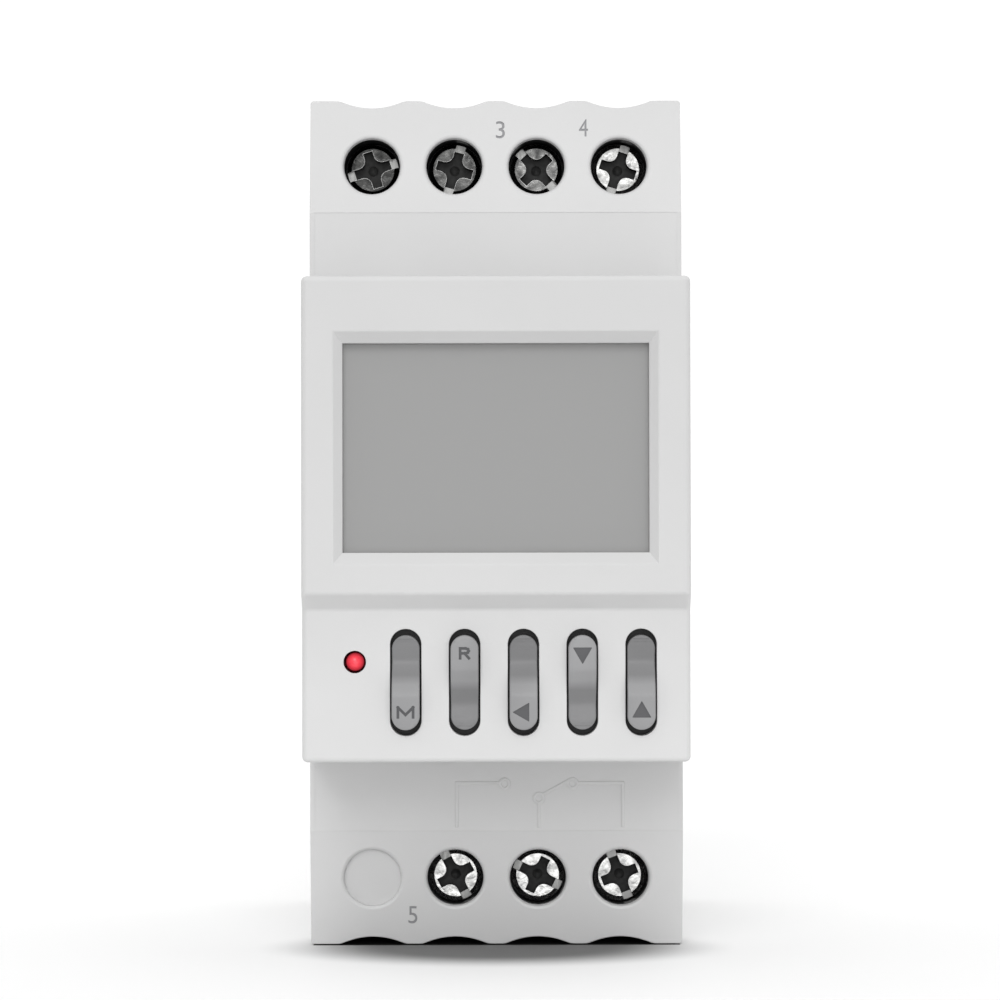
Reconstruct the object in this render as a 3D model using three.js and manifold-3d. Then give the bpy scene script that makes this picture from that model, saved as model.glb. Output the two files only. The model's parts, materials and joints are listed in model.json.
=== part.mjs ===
// A two-module time switch for a 35 mm DIN rail, built as the assembly it is: three snapped-together
// housing mouldings, a display stack, five lever keys on tactile switches, seven rising-cage screw
// terminals, a relay supply board and a sprung rail latch.
//
// Millimetres. +X to the right, +Y from the front towards the rail, +Z up. The origin is the middle
// of the face that seats on the rail.

import * as THREE from "three";
import { mergeVertices } from "three/addons/utils/BufferGeometryUtils.js";
import Module from "manifold-3d";

const wasm = await Module();
wasm.setup();

// ---------- driving dimensions

const MODULE = 18; // one DIN module
const HALF_WIDTH = MODULE; // two modules wide
const HALF_HEIGHT = 41;
const NOSE_HALF_HEIGHT = 22.5; // the standard 45 mm panel cut-out
const DISPLAY_FACE = -60; // y of the raised display block
const KEY_FACE = -58.5; // y of the key panel below it
const SHOULDER = -44; // y of the flat band beside the nose
const DECK_START = 29.9; // height where the sloped screw deck begins
const DECK_EDGE = -42; // y of the deck at the end faces
const PARTING = -10; // y where the rear base meets the housing
const REAR = 6; // y of the rearmost face
const WALL = 1.8;
const GAP = 0.1; // between mouldings that touch

const TERMINAL_PITCH = 8;
const TERMINAL_HEIGHT = 34.5; // of the screw axes above and below the middle
const WELL_RADIUS = 2.75;
const SCREW_TOP = -39.7; // y of the screw heads
const SCREW_THREAD = 1.75; // radius

const KEY_PITCH = 5.45;
const FIRST_KEY = -8.38;
const KEY_HEIGHT = -15.1; // z of the middle of the key slots
const KEY_PIVOT = 4.6; // from the slot's middle to the trunnion
const KEY_PRESS = 2.5; // from the slot's middle to the switch
const PIVOT_Y = -56.2; // of the trunnions
const BOARD_FRONT = -51.65; // y of the display board's front

const DISPLAY_HEIGHT = 6.6; // z of the middle of the display window

const ROUND = 24; // sides of a round hole or head
const SMALL_ROUND = 16;

// ---------- joining and cutting

function solidOf(geometry) {
  const bare = geometry.index ? geometry.toNonIndexed() : geometry.clone();
  bare.deleteAttribute("normal");
  bare.deleteAttribute("uv");
  const merged = mergeVertices(bare, 1e-4);
  return new wasm.Manifold(
    new wasm.Mesh({
      numProp: 3,
      vertProperties: merged.attributes.position.array,
      triVerts: new Uint32Array(merged.index.array),
    }),
  );
}

function geometryOf(solid) {
  const { vertProperties, triVerts } = solid.getMesh();
  return new THREE.BufferGeometry()
    .setAttribute("position", new THREE.BufferAttribute(vertProperties, 3))
    .setIndex(new THREE.BufferAttribute(triVerts, 1))
    .toNonIndexed();
}

const join = (first, ...others) => others.reduce((made, other) => made.add(other), first);
const cut = (first, ...tools) => tools.reduce((made, tool) => made.subtract(tool), first);

// ---------- stock shapes

function block([x0, x1], [y0, y1], [z0, z1]) {
  const geometry = new THREE.BoxGeometry(x1 - x0, y1 - y0, z1 - z0);
  return solidOf(geometry.translate((x0 + x1) / 2, (y0 + y1) / 2, (z0 + z1) / 2));
}

// A round bar along Y; with two radii it tapers from the front one to the back one.
function barY(front, back, [y0, y1], [x, z] = [0, 0], sides = ROUND) {
  const geometry = new THREE.CylinderGeometry(back, front, y1 - y0, sides);
  return solidOf(geometry.translate(x, (y0 + y1) / 2, z));
}

function barX(radius, [x0, x1], [y, z], sides = SMALL_ROUND) {
  const geometry = new THREE.CylinderGeometry(radius, radius, x1 - x0, sides).rotateZ(Math.PI / 2);
  return solidOf(geometry.translate((x0 + x1) / 2, y, z));
}

// An outline drawn in X and Z, pushed through from y0 to y1.
function prismY(shape, [y0, y1], curveSegments = 8) {
  const depth = y1 - y0;
  const geometry = new THREE.ExtrudeGeometry(shape, { depth, bevelEnabled: false, curveSegments });
  return solidOf(geometry.rotateX(Math.PI / 2).translate(0, y1, 0));
}

// An outline drawn in Y and Z, pushed through from x0 to x1.
const YZ_TO_X = new THREE.Matrix4().makeBasis(
  new THREE.Vector3(0, 1, 0),
  new THREE.Vector3(0, 0, 1),
  new THREE.Vector3(1, 0, 0),
);

function prismX(shape, [x0, x1], curveSegments = 8) {
  const depth = x1 - x0;
  const geometry = new THREE.ExtrudeGeometry(shape, { depth, bevelEnabled: false, curveSegments });
  return solidOf(geometry.applyMatrix4(YZ_TO_X).translate(x0, 0, 0));
}

// An outline drawn in X and Y, pushed up from z0 to z1.
function prismZ(shape, [z0, z1], curveSegments = 4) {
  const depth = z1 - z0;
  const geometry = new THREE.ExtrudeGeometry(shape, { depth, bevelEnabled: false, curveSegments });
  return solidOf(geometry.translate(0, 0, z0));
}

function outline(...points) {
  return new THREE.Shape(points.map(([u, v]) => new THREE.Vector2(u, v)));
}

function roundedRectangle([u0, u1], [v0, v1], radius) {
  const shape = new THREE.Shape();
  shape.absarc(u1 - radius, v0 + radius, radius, -Math.PI / 2, 0);
  shape.absarc(u1 - radius, v1 - radius, radius, 0, Math.PI / 2);
  shape.absarc(u0 + radius, v1 - radius, radius, Math.PI / 2, Math.PI);
  shape.absarc(u0 + radius, v0 + radius, radius, Math.PI, (3 * Math.PI) / 2);
  return shape;
}

// A slot with round ends, upright about the given middle.
function stadium(width, height, [x, z] = [0, 0]) {
  const radius = width / 2;
  const reach = height / 2 - radius;
  const shape = new THREE.Shape();
  shape.absarc(x, z + reach, radius, 0, Math.PI);
  shape.absarc(x, z - reach, radius, Math.PI, 2 * Math.PI);
  return shape;
}

// ---------- finishes

const finish = (color, roughness, metalness = 0) =>
  new THREE.MeshStandardMaterial({ color, roughness, metalness });

const housingWhite = finish(0xdedede, 0.5);
const keyGrey = finish(0x8f9092, 0.6);
const clearPlastic = finish(0xc8cccc, 0.1);
const displayGrey = finish(0x9fa3a0, 0.25);
const frameWhite = finish(0xe8e8e4, 0.6);
const zebraRubber = finish(0xb06a80, 0.8);
const boardGreen = finish(0x1f5a34, 0.45);
const chipBlack = finish(0x1b1b1d, 0.5);
const switchBlack = finish(0x222224, 0.55);
const stemIvory = finish(0xd8d2bc, 0.5);
const ledRed = finish(0xe02030, 0.2);
const platedSteel = finish(0xb9bcc0, 0.3, 1);
const brass = finish(0xc8a25a, 0.3, 1);
const springSteel = finish(0x9a9da2, 0.25, 1);
const relayBlue = finish(0x23406e, 0.45);
const capacitorYellow = finish(0xd8b23a, 0.4);
const sleeveBlack = finish(0x202024, 0.35);
const discBlue = finish(0x2c5fa8, 0.45);
const latchBlack = finish(0x26272a, 0.5);

const timer = new THREE.Group();

function place(name, solid, material, [x, y, z] = [0, 0, 0], turnY = 0) {
  const mesh = new THREE.Mesh(geometryOf(solid), material);
  mesh.name = name;
  mesh.position.set(x, y, z);
  mesh.rotation.y = turnY;
  timer.add(mesh);
  return mesh;
}

// ---------- terminal places

const COLUMNS = [-1.5, -0.5, 0.5, 1.5].map((n) => n * TERMINAL_PITCH);
const BLANK_COLUMN = COLUMNS[0]; // on the lower row this place has no terminal
const UPPER = 1;
const LOWER = -1;

// Each terminal's row, column and the angle at which its screw happens to stand.
const TERMINALS = [
  { name: "upper_1", row: UPPER, x: COLUMNS[0], angle: 17 },
  { name: "upper_2", row: UPPER, x: COLUMNS[1], angle: 74 },
  { name: "upper_3", row: UPPER, x: COLUMNS[2], angle: 134 },
  { name: "upper_4", row: UPPER, x: COLUMNS[3], angle: 72 },
  { name: "lower_1", row: LOWER, x: COLUMNS[1], angle: 118 },
  { name: "lower_2", row: LOWER, x: COLUMNS[2], angle: 154 },
  { name: "lower_3", row: LOWER, x: COLUMNS[3], angle: 111 },
];

// A pair of heights mirrored to the row, low one first.
const heights = (row, low, high) => (row === UPPER ? [low, high] : [-high, -low]);

// ---------- terminal chambers and wire entries

const CHAMBER_HALF_WIDTH = 3.45;
const CHAMBER_FRONT = -36.6;
const CHAMBER_LOW = 31;
const CHAMBER_HIGH = 38.9;
const BUSBAR_SLOT_HALF = 2.1;
const HEAD_RADIUS = 2.5;
const LEDGE_FRONT = -37.6; // the head bears on this ledge as the screw is tightened
const BUSBAR_FRONT = -29.4;
const BUSBAR_THICKNESS = 1;
const WIRE_GAP = 4.8;
const ENTRY_HALF_WIDTH = 2.6;
const ENTRY_FRONT = -28.9;
const ENTRY_BACK = -23.1;

const deckAt = (z) =>
  SHOULDER + ((DECK_EDGE - SHOULDER) * (Math.abs(z) - DECK_START)) / (HALF_HEIGHT - DECK_START);

function screwWell(x, row) {
  const at = [x, row * TERMINAL_HEIGHT];
  const rim = deckAt(TERMINAL_HEIGHT);
  const countersink = barY(WELL_RADIUS + 0.75, WELL_RADIUS, [rim - 0.3, rim + 0.45], at);
  const well = barY(WELL_RADIUS, WELL_RADIUS, [SHOULDER - 1, LEDGE_FRONT], at);
  const shankHole = barY(SCREW_THREAD + 0.15, SCREW_THREAD + 0.15, [SHOULDER, CHAMBER_FRONT + 1], at);
  return join(countersink, well, shankHole);
}

// A blind round recess marks the unused place.
function blankWell() {
  const rim = deckAt(TERMINAL_HEIGHT);
  const at = [BLANK_COLUMN, LOWER * TERMINAL_HEIGHT];
  return barY(WELL_RADIUS, WELL_RADIUS, [SHOULDER - 1, rim + 0.6], at);
}

function chamber(x, row) {
  const width = [x - CHAMBER_HALF_WIDTH, x + CHAMBER_HALF_WIDTH];
  const room = block(width, [CHAMBER_FRONT, PARTING + 1], heights(row, CHAMBER_LOW, CHAMBER_HIGH));
  const slotWidth = [x - BUSBAR_SLOT_HALF, x + BUSBAR_SLOT_HALF];
  const busbarSlot = block(slotWidth, [BUSBAR_FRONT - 0.3, PARTING + 1], heights(row, 29, 32));
  return join(room, busbarSlot);
}

function wireEntry(x, row, inner = CHAMBER_HIGH - 1) {
  const across = [x - ENTRY_HALF_WIDTH, x + ENTRY_HALF_WIDTH];
  const throat = roundedRectangle(across, [ENTRY_FRONT, ENTRY_BACK], 0.8);
  const flare = 0.7;
  const mouth = roundedRectangle(
    [across[0] - flare, across[1] + flare],
    [ENTRY_FRONT - flare, ENTRY_BACK + flare],
    1.4,
  );
  return join(
    prismZ(throat, heights(row, inner, HALF_HEIGHT + 1)),
    prismZ(mouth, heights(row, HALF_HEIGHT - 1.3, HALF_HEIGHT + 1)),
  );
}

// ---------- main housing

const SCALLOP_RADIUS = 7.1;
const SCALLOP_DEPTH = 0.72;
const SCALLOP_REACH = Math.sqrt(SCALLOP_RADIUS ** 2 - (SCALLOP_RADIUS - SCALLOP_DEPTH) ** 2);
const CORNER = 0.6;

// The end faces wave in and out in front view: a shallow trough over every terminal.
function scallopedOutline() {
  const shape = new THREE.Shape();
  const arcCentre = HALF_HEIGHT + SCALLOP_RADIUS - SCALLOP_DEPTH;
  const swing = Math.asin(SCALLOP_REACH / SCALLOP_RADIUS);
  shape.moveTo(-HALF_WIDTH, -HALF_HEIGHT + CORNER);
  shape.absarc(-HALF_WIDTH + CORNER, -HALF_HEIGHT + CORNER, CORNER, Math.PI, 1.5 * Math.PI);
  for (const x of COLUMNS)
    shape.absarc(x, -arcCentre, SCALLOP_RADIUS, Math.PI / 2 + swing, Math.PI / 2 - swing, true);
  shape.absarc(HALF_WIDTH - CORNER, -HALF_HEIGHT + CORNER, CORNER, -Math.PI / 2, 0);
  shape.absarc(HALF_WIDTH - CORNER, HALF_HEIGHT - CORNER, CORNER, 0, Math.PI / 2);
  for (const x of [...COLUMNS].reverse())
    shape.absarc(x, arcCentre, SCALLOP_RADIUS, -Math.PI / 2 + swing, -Math.PI / 2 - swing, true);
  shape.absarc(-HALF_WIDTH + CORNER, HALF_HEIGHT - CORNER, CORNER, Math.PI / 2, Math.PI);
  return shape;
}

const HOUSING_BACK = PARTING - GAP / 2;
const CAVITY_HALF_WIDTH = 16.1;
const CAVITY_HALF_HEIGHT = 29.8;
const COLLAR_FRONT = -47;
const COLLAR_HALF_WIDTH = 16.2;
const COLLAR_HALF_HEIGHT = 20.7;
const COLLAR_WALL = 1.2;
const SNAP_Z = 18; // height of the side snaps that hold the rear base
const SNAP_HALF_LENGTH = 2.2;

function mainHousing() {
  const side = outline(
    [SHOULDER, -DECK_START],
    [DECK_EDGE, -HALF_HEIGHT],
    [HOUSING_BACK, -HALF_HEIGHT],
    [HOUSING_BACK, HALF_HEIGHT],
    [DECK_EDGE, HALF_HEIGHT],
    [SHOULDER, DECK_START],
  );
  const reach = HALF_WIDTH + 1;
  const envelope = prismX(side, [-reach, reach]).intersect(
    prismY(scallopedOutline(), [SHOULDER - 1, PARTING + 1], 6),
  );
  const collar = block(
    [-COLLAR_HALF_WIDTH, COLLAR_HALF_WIDTH],
    [COLLAR_FRONT, SHOULDER + 1],
    [-COLLAR_HALF_HEIGHT, COLLAR_HALF_HEIGHT],
  );
  const noseOpening = block(
    [-COLLAR_HALF_WIDTH + COLLAR_WALL, COLLAR_HALF_WIDTH - COLLAR_WALL],
    [COLLAR_FRONT - 1, SHOULDER + 4],
    [-COLLAR_HALF_HEIGHT + COLLAR_WALL, COLLAR_HALF_HEIGHT - COLLAR_WALL],
  );
  const cavity = block(
    [-CAVITY_HALF_WIDTH, CAVITY_HALF_WIDTH],
    [SHOULDER + WALL + 0.2, PARTING + 1],
    [-CAVITY_HALF_HEIGHT, CAVITY_HALF_HEIGHT],
  );
  const snapWindows = [-SNAP_Z, SNAP_Z].map((z) =>
    block([-reach, reach], [-14, -12], [z - SNAP_HALF_LENGTH - 0.3, z + SNAP_HALF_LENGTH + 0.3]),
  );
  const terminalCuts = TERMINALS.flatMap(({ x, row }) => [
    screwWell(x, row),
    chamber(x, row),
    wireEntry(x, row),
  ]);
  return cut(
    join(envelope, collar, ...noseSnaps(0)),
    noseOpening,
    cavity,
    ...snapWindows,
    ...terminalCuts,
    blankWell(),
    wireEntry(BLANK_COLUMN, LOWER, HALF_HEIGHT - 1.5),
  );
}

// Wedges on the collar that the front cover clicks over; grown by a clearance they cut its pockets.
function noseSnaps(clearance) {
  const out = COLLAR_HALF_HEIGHT + 0.55 + clearance;
  const rise = COLLAR_HALF_HEIGHT - 0.2;
  const wedge = (row) =>
    outline(
      [-45 + clearance, row * rise],
      [-45 + clearance, row * out],
      [-45.4 - clearance, row * out],
      [-46.6 - clearance, row * rise],
    );
  return [-7, 7].flatMap((x) =>
    [UPPER, LOWER].map((row) => prismX(wedge(row), [x - 2 - clearance, x + 2 + clearance])),
  );
}

place("main_housing", mainHousing(), housingWhite);

// ---------- front cover: the nose, with the display block above and the key panel below

const COVER_WALL = 1.6;
const BLOCK_BOTTOM = -6.9; // where the display block starts to slope down to the key panel
const SLOPE_BOTTOM = -8.35;
const WINDOW_HALF = [14.2, 9.7]; // half the clear display opening, in X and Z
const BEVEL_HALF = [15.07, 10.8]; // half the bevel's outer edge
const SLOT = [2.9, 9.9];
const LED_AT = [-13.1, -13.2];
const LED_HOLE = 1.02;
const EDGE = 0.9; // rounding of the nose's front edges
const POCKET_FRONT = -58.4; // the window seats against this face
const POCKET_HALF = [15.6, 11.1]; // half the pocket the window drops into, in X and Z
const LEDGE_START = -57.5; // the ledges that stop the display board start in the solid front

const keyX = (n) => FIRST_KEY + n * KEY_PITCH;

// The keys alternate, so that their switches stand in two staggered rows.
const KEYS = [
  { name: "mode", x: keyX(0), raisedEnd: LOWER, mark: null },
  { name: "reset", x: keyX(1), raisedEnd: UPPER, mark: null },
  { name: "left", x: keyX(2), raisedEnd: LOWER, mark: Math.PI },
  { name: "down", x: keyX(3), raisedEnd: UPPER, mark: -Math.PI / 2 },
  { name: "up", x: keyX(4), raisedEnd: LOWER, mark: Math.PI / 2 },
];

// A four-sided bevel round the display, narrowing towards the window.
function displayBevel() {
  const geometry = new THREE.CylinderGeometry(1, 1, 1, 4, 1).rotateY(Math.PI / 4);
  const corners = geometry.attributes.position;
  const depth = 1;
  const overshoot = 0.5;
  const slope = (BEVEL_HALF[0] - WINDOW_HALF[0]) / depth;
  const slopeZ = (BEVEL_HALF[1] - WINDOW_HALF[1]) / depth;
  for (let i = 0; i < corners.count; i += 1) {
    const atFront = corners.getY(i) < 0;
    const grow = atFront ? overshoot + depth : 0;
    const axis = Math.abs(corners.getX(i)) < 1e-6 && Math.abs(corners.getZ(i)) < 1e-6;
    const halfX = axis ? 0 : WINDOW_HALF[0] + slope * grow;
    const halfZ = axis ? 0 : WINDOW_HALF[1] + slopeZ * grow;
    corners.setXYZ(
      i,
      Math.sign(corners.getX(i)) * halfX,
      atFront ? DISPLAY_FACE - overshoot : DISPLAY_FACE + depth,
      DISPLAY_HEIGHT + Math.sign(corners.getZ(i)) * halfZ,
    );
  }
  return solidOf(geometry);
}

function noseEnvelope() {
  const face = roundedRectangle(
    [-HALF_WIDTH, HALF_WIDTH],
    [-NOSE_HALF_HEIGHT, NOSE_HALF_HEIGHT],
    CORNER + 0.2,
  );
  const back = SHOULDER - GAP;
  const side = outline(
    [back, -NOSE_HALF_HEIGHT],
    [back, NOSE_HALF_HEIGHT],
    [DISPLAY_FACE + EDGE, NOSE_HALF_HEIGHT],
    [DISPLAY_FACE + EDGE * 0.29, NOSE_HALF_HEIGHT - EDGE * 0.29],
    [DISPLAY_FACE, NOSE_HALF_HEIGHT - EDGE],
    [DISPLAY_FACE, BLOCK_BOTTOM],
    [KEY_FACE, SLOPE_BOTTOM],
    [KEY_FACE, -NOSE_HALF_HEIGHT + EDGE],
    [KEY_FACE + EDGE * 0.29, -NOSE_HALF_HEIGHT + EDGE * 0.29],
    [KEY_FACE + EDGE, -NOSE_HALF_HEIGHT],
  );
  const reach = HALF_WIDTH + 1;
  return prismY(face, [DISPLAY_FACE - 1, back], 3).intersect(prismX(side, [-reach, reach]));
}

function noseHollow() {
  const inside = NOSE_HALF_HEIGHT - COVER_WALL;
  const side = outline(
    [SHOULDER + 1, -inside],
    [SHOULDER + 1, inside],
    [DISPLAY_FACE + 2.6, inside],
    [DISPLAY_FACE + 2.6, BLOCK_BOTTOM - 0.6],
    [KEY_FACE + COVER_WALL, BLOCK_BOTTOM - 1.2],
    [KEY_FACE + COVER_WALL, -inside],
  );
  const half = HALF_WIDTH - COVER_WALL;
  return prismX(side, [-half, half]);
}

// Two ribs beside each key with notches for its trunnions.
function keySaddles(key) {
  const z = KEY_HEIGHT - key.raisedEnd * KEY_PIVOT;
  const bottom = KEY_FACE + COVER_WALL - 0.3;
  const rib = (x0, x1) => block([x0, x1], [bottom, -54.9], [z - 1.2, z + 1.2]);
  const notch = join(
    barX(0.58, [key.x - 3.2, key.x + 3.2], [PIVOT_Y, z]),
    block([key.x - 3.2, key.x + 3.2], [PIVOT_Y, -54], [z - 0.58, z + 0.58]),
  );
  return [rib(key.x - 2.95, key.x - 2.1), rib(key.x + 2.1, key.x + 2.95)].map((r) => cut(r, notch));
}

function frontCover() {
  const [slotWidth, slotHeight] = SLOT;
  const slots = KEYS.map(({ x }) =>
    prismY(stadium(slotWidth, slotHeight, [x, KEY_HEIGHT]), [DISPLAY_FACE, KEY_FACE + 3], 8),
  );
  const [halfX, halfZ] = WINDOW_HALF;
  const aperture = block(
    [-halfX, halfX],
    [DISPLAY_FACE - 1, POCKET_FRONT + 1],
    [DISPLAY_HEIGHT - halfZ, DISPLAY_HEIGHT + halfZ],
  );
  const windowPocket = block(
    [-POCKET_HALF[0], POCKET_HALF[0]],
    [POCKET_FRONT, DISPLAY_FACE + 3],
    [DISPLAY_HEIGHT - POCKET_HALF[1], DISPLAY_HEIGHT + POCKET_HALF[1]],
  );
  const boardLedges = [
    block([-16.6, -15.3], [LEDGE_START, BOARD_FRONT - GAP], [-8.6, -6.2]),
    block([15.3, 16.6], [LEDGE_START, BOARD_FRONT - GAP], [-8.6, -6.2]),
    block([-6, 6], [LEDGE_START, BOARD_FRONT - GAP], [19.3, 21]),
  ];
  const shell = cut(noseEnvelope(), noseHollow());
  return cut(
    join(shell, ...KEYS.flatMap(keySaddles), ...boardLedges),
    displayBevel(),
    aperture,
    windowPocket,
    ...slots,
    barY(LED_HOLE, LED_HOLE, [DISPLAY_FACE, KEY_FACE + 3], LED_AT, SMALL_ROUND),
    ...noseSnaps(0.15),
  );
}

place("front_cover", frontCover(), housingWhite);

// ---------- display stack: window, glass cell, frame and conductive rubber strips

const WINDOW_THICKNESS = 1;
const windowSolid = block(
  [-15.45, 15.45],
  [POCKET_FRONT + 0.05, POCKET_FRONT + 0.05 + WINDOW_THICKNESS],
  [-10.95, 10.95],
);
place("display_window", windowSolid, clearPlastic, [0, 0, DISPLAY_HEIGHT]);

const GLASS_FRONT = -57.2;
const PLATE = 1.1;
const displayGlass = join(
  block([-15.6, 15.6], [GLASS_FRONT, GLASS_FRONT + PLATE], [-11.6, 11.6]),
  block([-15.6, 15.6], [GLASS_FRONT + PLATE, GLASS_FRONT + 2 * PLATE], [-9.5, 9.5]),
);
place("display_glass", displayGlass, displayGrey, [0, 0, DISPLAY_HEIGHT]);

const STRIP_Z = 10.6; // of the rubber strips above and below the display's middle
const stripSolid = block([-14.4, 14.4], [GLASS_FRONT + PLATE + 0.05, BOARD_FRONT - 0.05], [-0.9, 0.9]);
place("contact_strip_upper", stripSolid, zebraRubber, [0, 0, DISPLAY_HEIGHT + STRIP_Z]);
place("contact_strip_lower", stripSolid, zebraRubber, [0, 0, DISPLAY_HEIGHT - STRIP_Z]);

function displayFrame() {
  const depth = [GLASS_FRONT + 2 * PLATE + 0.1, BOARD_FRONT - 0.1];
  const stripSlot = (z) => block([-14.6, 14.6], [depth[0] - 1, depth[1] + 1], [z - 1.05, z + 1.05]);
  return cut(
    block([-15.7, 15.7], depth, [-12.1, 12.1]),
    block([-13, 13], [depth[0] - 1, depth[1] + 1], [-8.2, 8.2]),
    stripSlot(STRIP_Z),
    stripSlot(-STRIP_Z),
  );
}
place("display_frame", displayFrame(), frameWhite, [0, 0, DISPLAY_HEIGHT]);

// ---------- display board and what is soldered to it

const BOARD_THICKNESS = 1.6;
const BOARD_BACK = BOARD_FRONT + BOARD_THICKNESS;
const LINK_PINS = [0, 1, 2, 3].map((n) => 0.2 + 2.54 * n);
const LINK_Z = -6.3;
const LED_LEGS = [-0.64, 0.64].map((dx) => LED_AT[0] + dx);

const pinHole = (x, z, [y0, y1]) => block([x - 0.45, x + 0.45], [y0 - 1, y1 + 1], [z - 0.45, z + 0.45]);

function displayBoard() {
  const depth = [BOARD_FRONT, BOARD_BACK];
  return cut(
    block([-16.1, 16.1], depth, [-20.6, 20.5]),
    ...LINK_PINS.map((x) => pinHole(x, LINK_Z, depth)),
    ...LED_LEGS.map((x) => pinHole(x, LED_AT[1], depth)),
  );
}
place("display_board", displayBoard(), boardGreen);

function controllerChip() {
  const body = block([-5, 5], [0, 1.4], [-5, 5]);
  const leads = [-4, -2.4, -0.8, 0.8, 2.4, 4].flatMap((at) => [
    block([at - 0.25, at + 0.25], [0, 0.35], [-6, 6]),
    block([-6, 6], [0, 0.35], [at - 0.25, at + 0.25]),
  ]);
  return join(body, ...leads);
}
place("controller_chip", controllerChip(), chipBlack, [8.5, BOARD_BACK + 0.05, -13.4]);

function quartzCrystal() {
  const can = barX(1, [-3, 3], [1.05, 0], 12);
  const legs = [-0.5, 0.5].map((z) => block([2.9, 5], [0.9, 1.2], [z - 0.15, z + 0.15]));
  return join(can, ...legs);
}
place("quartz_crystal", quartzCrystal(), platedSteel, [-2.2, BOARD_BACK + 0.05, -12]);

const CELL_RADIUS = 10;
function cellHolder() {
  const cup = cut(
    barY(CELL_RADIUS + 1.2, CELL_RADIUS + 1.2, [0, 3.6], [0, 0], 32),
    barY(CELL_RADIUS + 0.2, CELL_RADIUS + 0.2, [0.8, 5], [0, 0], 32),
    block([-4, 4], [0.8, 5], [0, 14]),
  );
  const clip = block([-1.5, 1.5], [0.4, 5], [-CELL_RADIUS - 1.1, -CELL_RADIUS - 0.3]);
  const finger = block([-1.5, 1.5], [4.3, 5], [-CELL_RADIUS - 1.1, -CELL_RADIUS + 2.4]);
  return join(cup, clip, finger);
}
const CELL_Z = 7.6;
place("cell_holder", cellHolder(), switchBlack, [0, BOARD_BACK + 0.05, CELL_Z]);

const cellSolid = join(
  barY(CELL_RADIUS - 1.2, CELL_RADIUS - 1.2, [0, 0.5], [0, 0], 32),
  barY(CELL_RADIUS, CELL_RADIUS, [0.4, 3.2], [0, 0], 32),
);
place("backup_cell", cellSolid, platedSteel, [0, BOARD_BACK + 1, CELL_Z]);

function statusLed() {
  const lens = [];
  const radius = 0.9;
  const flange = 1.2;
  const length = 3;
  const steps = 4;
  lens.push(new THREE.Vector2(0, 0));
  for (let i = 1; i <= steps; i += 1) {
    const swing = (i / steps) * (Math.PI / 2);
    lens.push(new THREE.Vector2(radius * Math.sin(swing), radius * (1 - Math.cos(swing))));
  }
  lens.push(new THREE.Vector2(radius, length));
  lens.push(new THREE.Vector2(flange, length));
  lens.push(new THREE.Vector2(flange, length + 0.5));
  lens.push(new THREE.Vector2(0, length + 0.5));
  const body = solidOf(new THREE.LatheGeometry(lens, SMALL_ROUND));
  const legEnd = BOARD_BACK + 0.6 - (KEY_FACE + 0.25);
  const legs = LED_LEGS.map((x) => {
    const at = x - LED_AT[0];
    return block([at - 0.22, at + 0.22], [length + 0.3, legEnd], [-0.22, 0.22]);
  });
  return join(body, ...legs);
}
place("status_led", statusLed(), ledRed, [LED_AT[0], KEY_FACE + 0.25, LED_AT[1]]);

// ---------- keys and their tactile switches

const KEY_WIDTH = 2.56;
const KEY_LENGTH = 8.7;
const FLANGE = [3.9, 10.8];

// A key with its raised end down; y = 0 is the panel's face and z = 0 the slot's middle. The top dips
// from the low end's tip to a crease, then runs up a hollow slope to the raised pad under the finger.
function keySolid(mark) {
  const tip = -0.27;
  const low = 0.28;
  const raised = -1.15;
  const back = 2.5;
  const end = KEY_LENGTH / 2;
  const profile = new THREE.Shape();
  profile.moveTo(back, end);
  profile.lineTo(tip, end);
  profile.lineTo(low, 2);
  profile.bezierCurveTo(low - 0.3, 1.0, raised + 0.35, -0.2, raised, -1.1);
  profile.quadraticCurveTo(raised - 0.12, -2.8, raised + 0.2, -end);
  profile.lineTo(back, -end);
  const cap = prismX(profile, [-2, 2], 5).intersect(prismY(stadium(KEY_WIDTH, KEY_LENGTH), [-3, 3], 6));
  const flangeFront = COVER_WALL + 0.15;
  const flange = prismY(stadium(...FLANGE), [flangeFront, back], 4);
  const trunnion = barX(0.5, [-2.9, 2.9], [PIVOT_Y - KEY_FACE, KEY_PIVOT], 12);
  const foot = block([-1, 1], [back - 0.2, 3.17], [-KEY_PRESS - 0.8, -KEY_PRESS + 0.8]);
  const whole = join(cap, flange, trunnion, foot);
  return mark === null ? whole : cut(whole, arrow(mark));
}

// The arrowhead sunk into a key's pad, pointing the given way in front view.
function arrow(angle) {
  const radius = 1.02;
  const tips = [0, 1, 2].map((n) => {
    const turn = angle + (n * 2 * Math.PI) / 3;
    return [radius * Math.cos(turn), -2.75 + radius * Math.sin(turn)];
  });
  return prismY(outline(...tips), [-3, -0.85]);
}

function switchBody() {
  const half = 2.25;
  const body = block([-half, half], [0, 2.65], [-half, half]);
  const stemBore = barY(1.2, 1.2, [-1, 2.3], [0, 0], SMALL_ROUND);
  return cut(body, stemBore);
}

const stemSolid = barY(1.0, 1.1, [0, 2.7], [0, 0], SMALL_ROUND);

for (const key of KEYS) {
  const flipped = key.raisedEnd === UPPER;
  // A key with its raised end up is the same moulding turned half round.
  const turn = flipped ? Math.PI : 0;
  const mark = flipped && key.mark !== null ? key.mark + Math.PI : key.mark;
  const pressZ = KEY_HEIGHT + key.raisedEnd * KEY_PRESS;
  place(`key_${key.name}`, keySolid(mark), keyGrey, [key.x, KEY_FACE, KEY_HEIGHT], turn);
  place(`switch_body_${key.name}`, switchBody(), switchBlack, [key.x, BOARD_FRONT - 2.7, pressZ]);
  place(`switch_stem_${key.name}`, stemSolid, stemIvory, [key.x, KEY_FACE + 3.25, pressZ]);
}

// ---------- supply board and what is soldered to it

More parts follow.
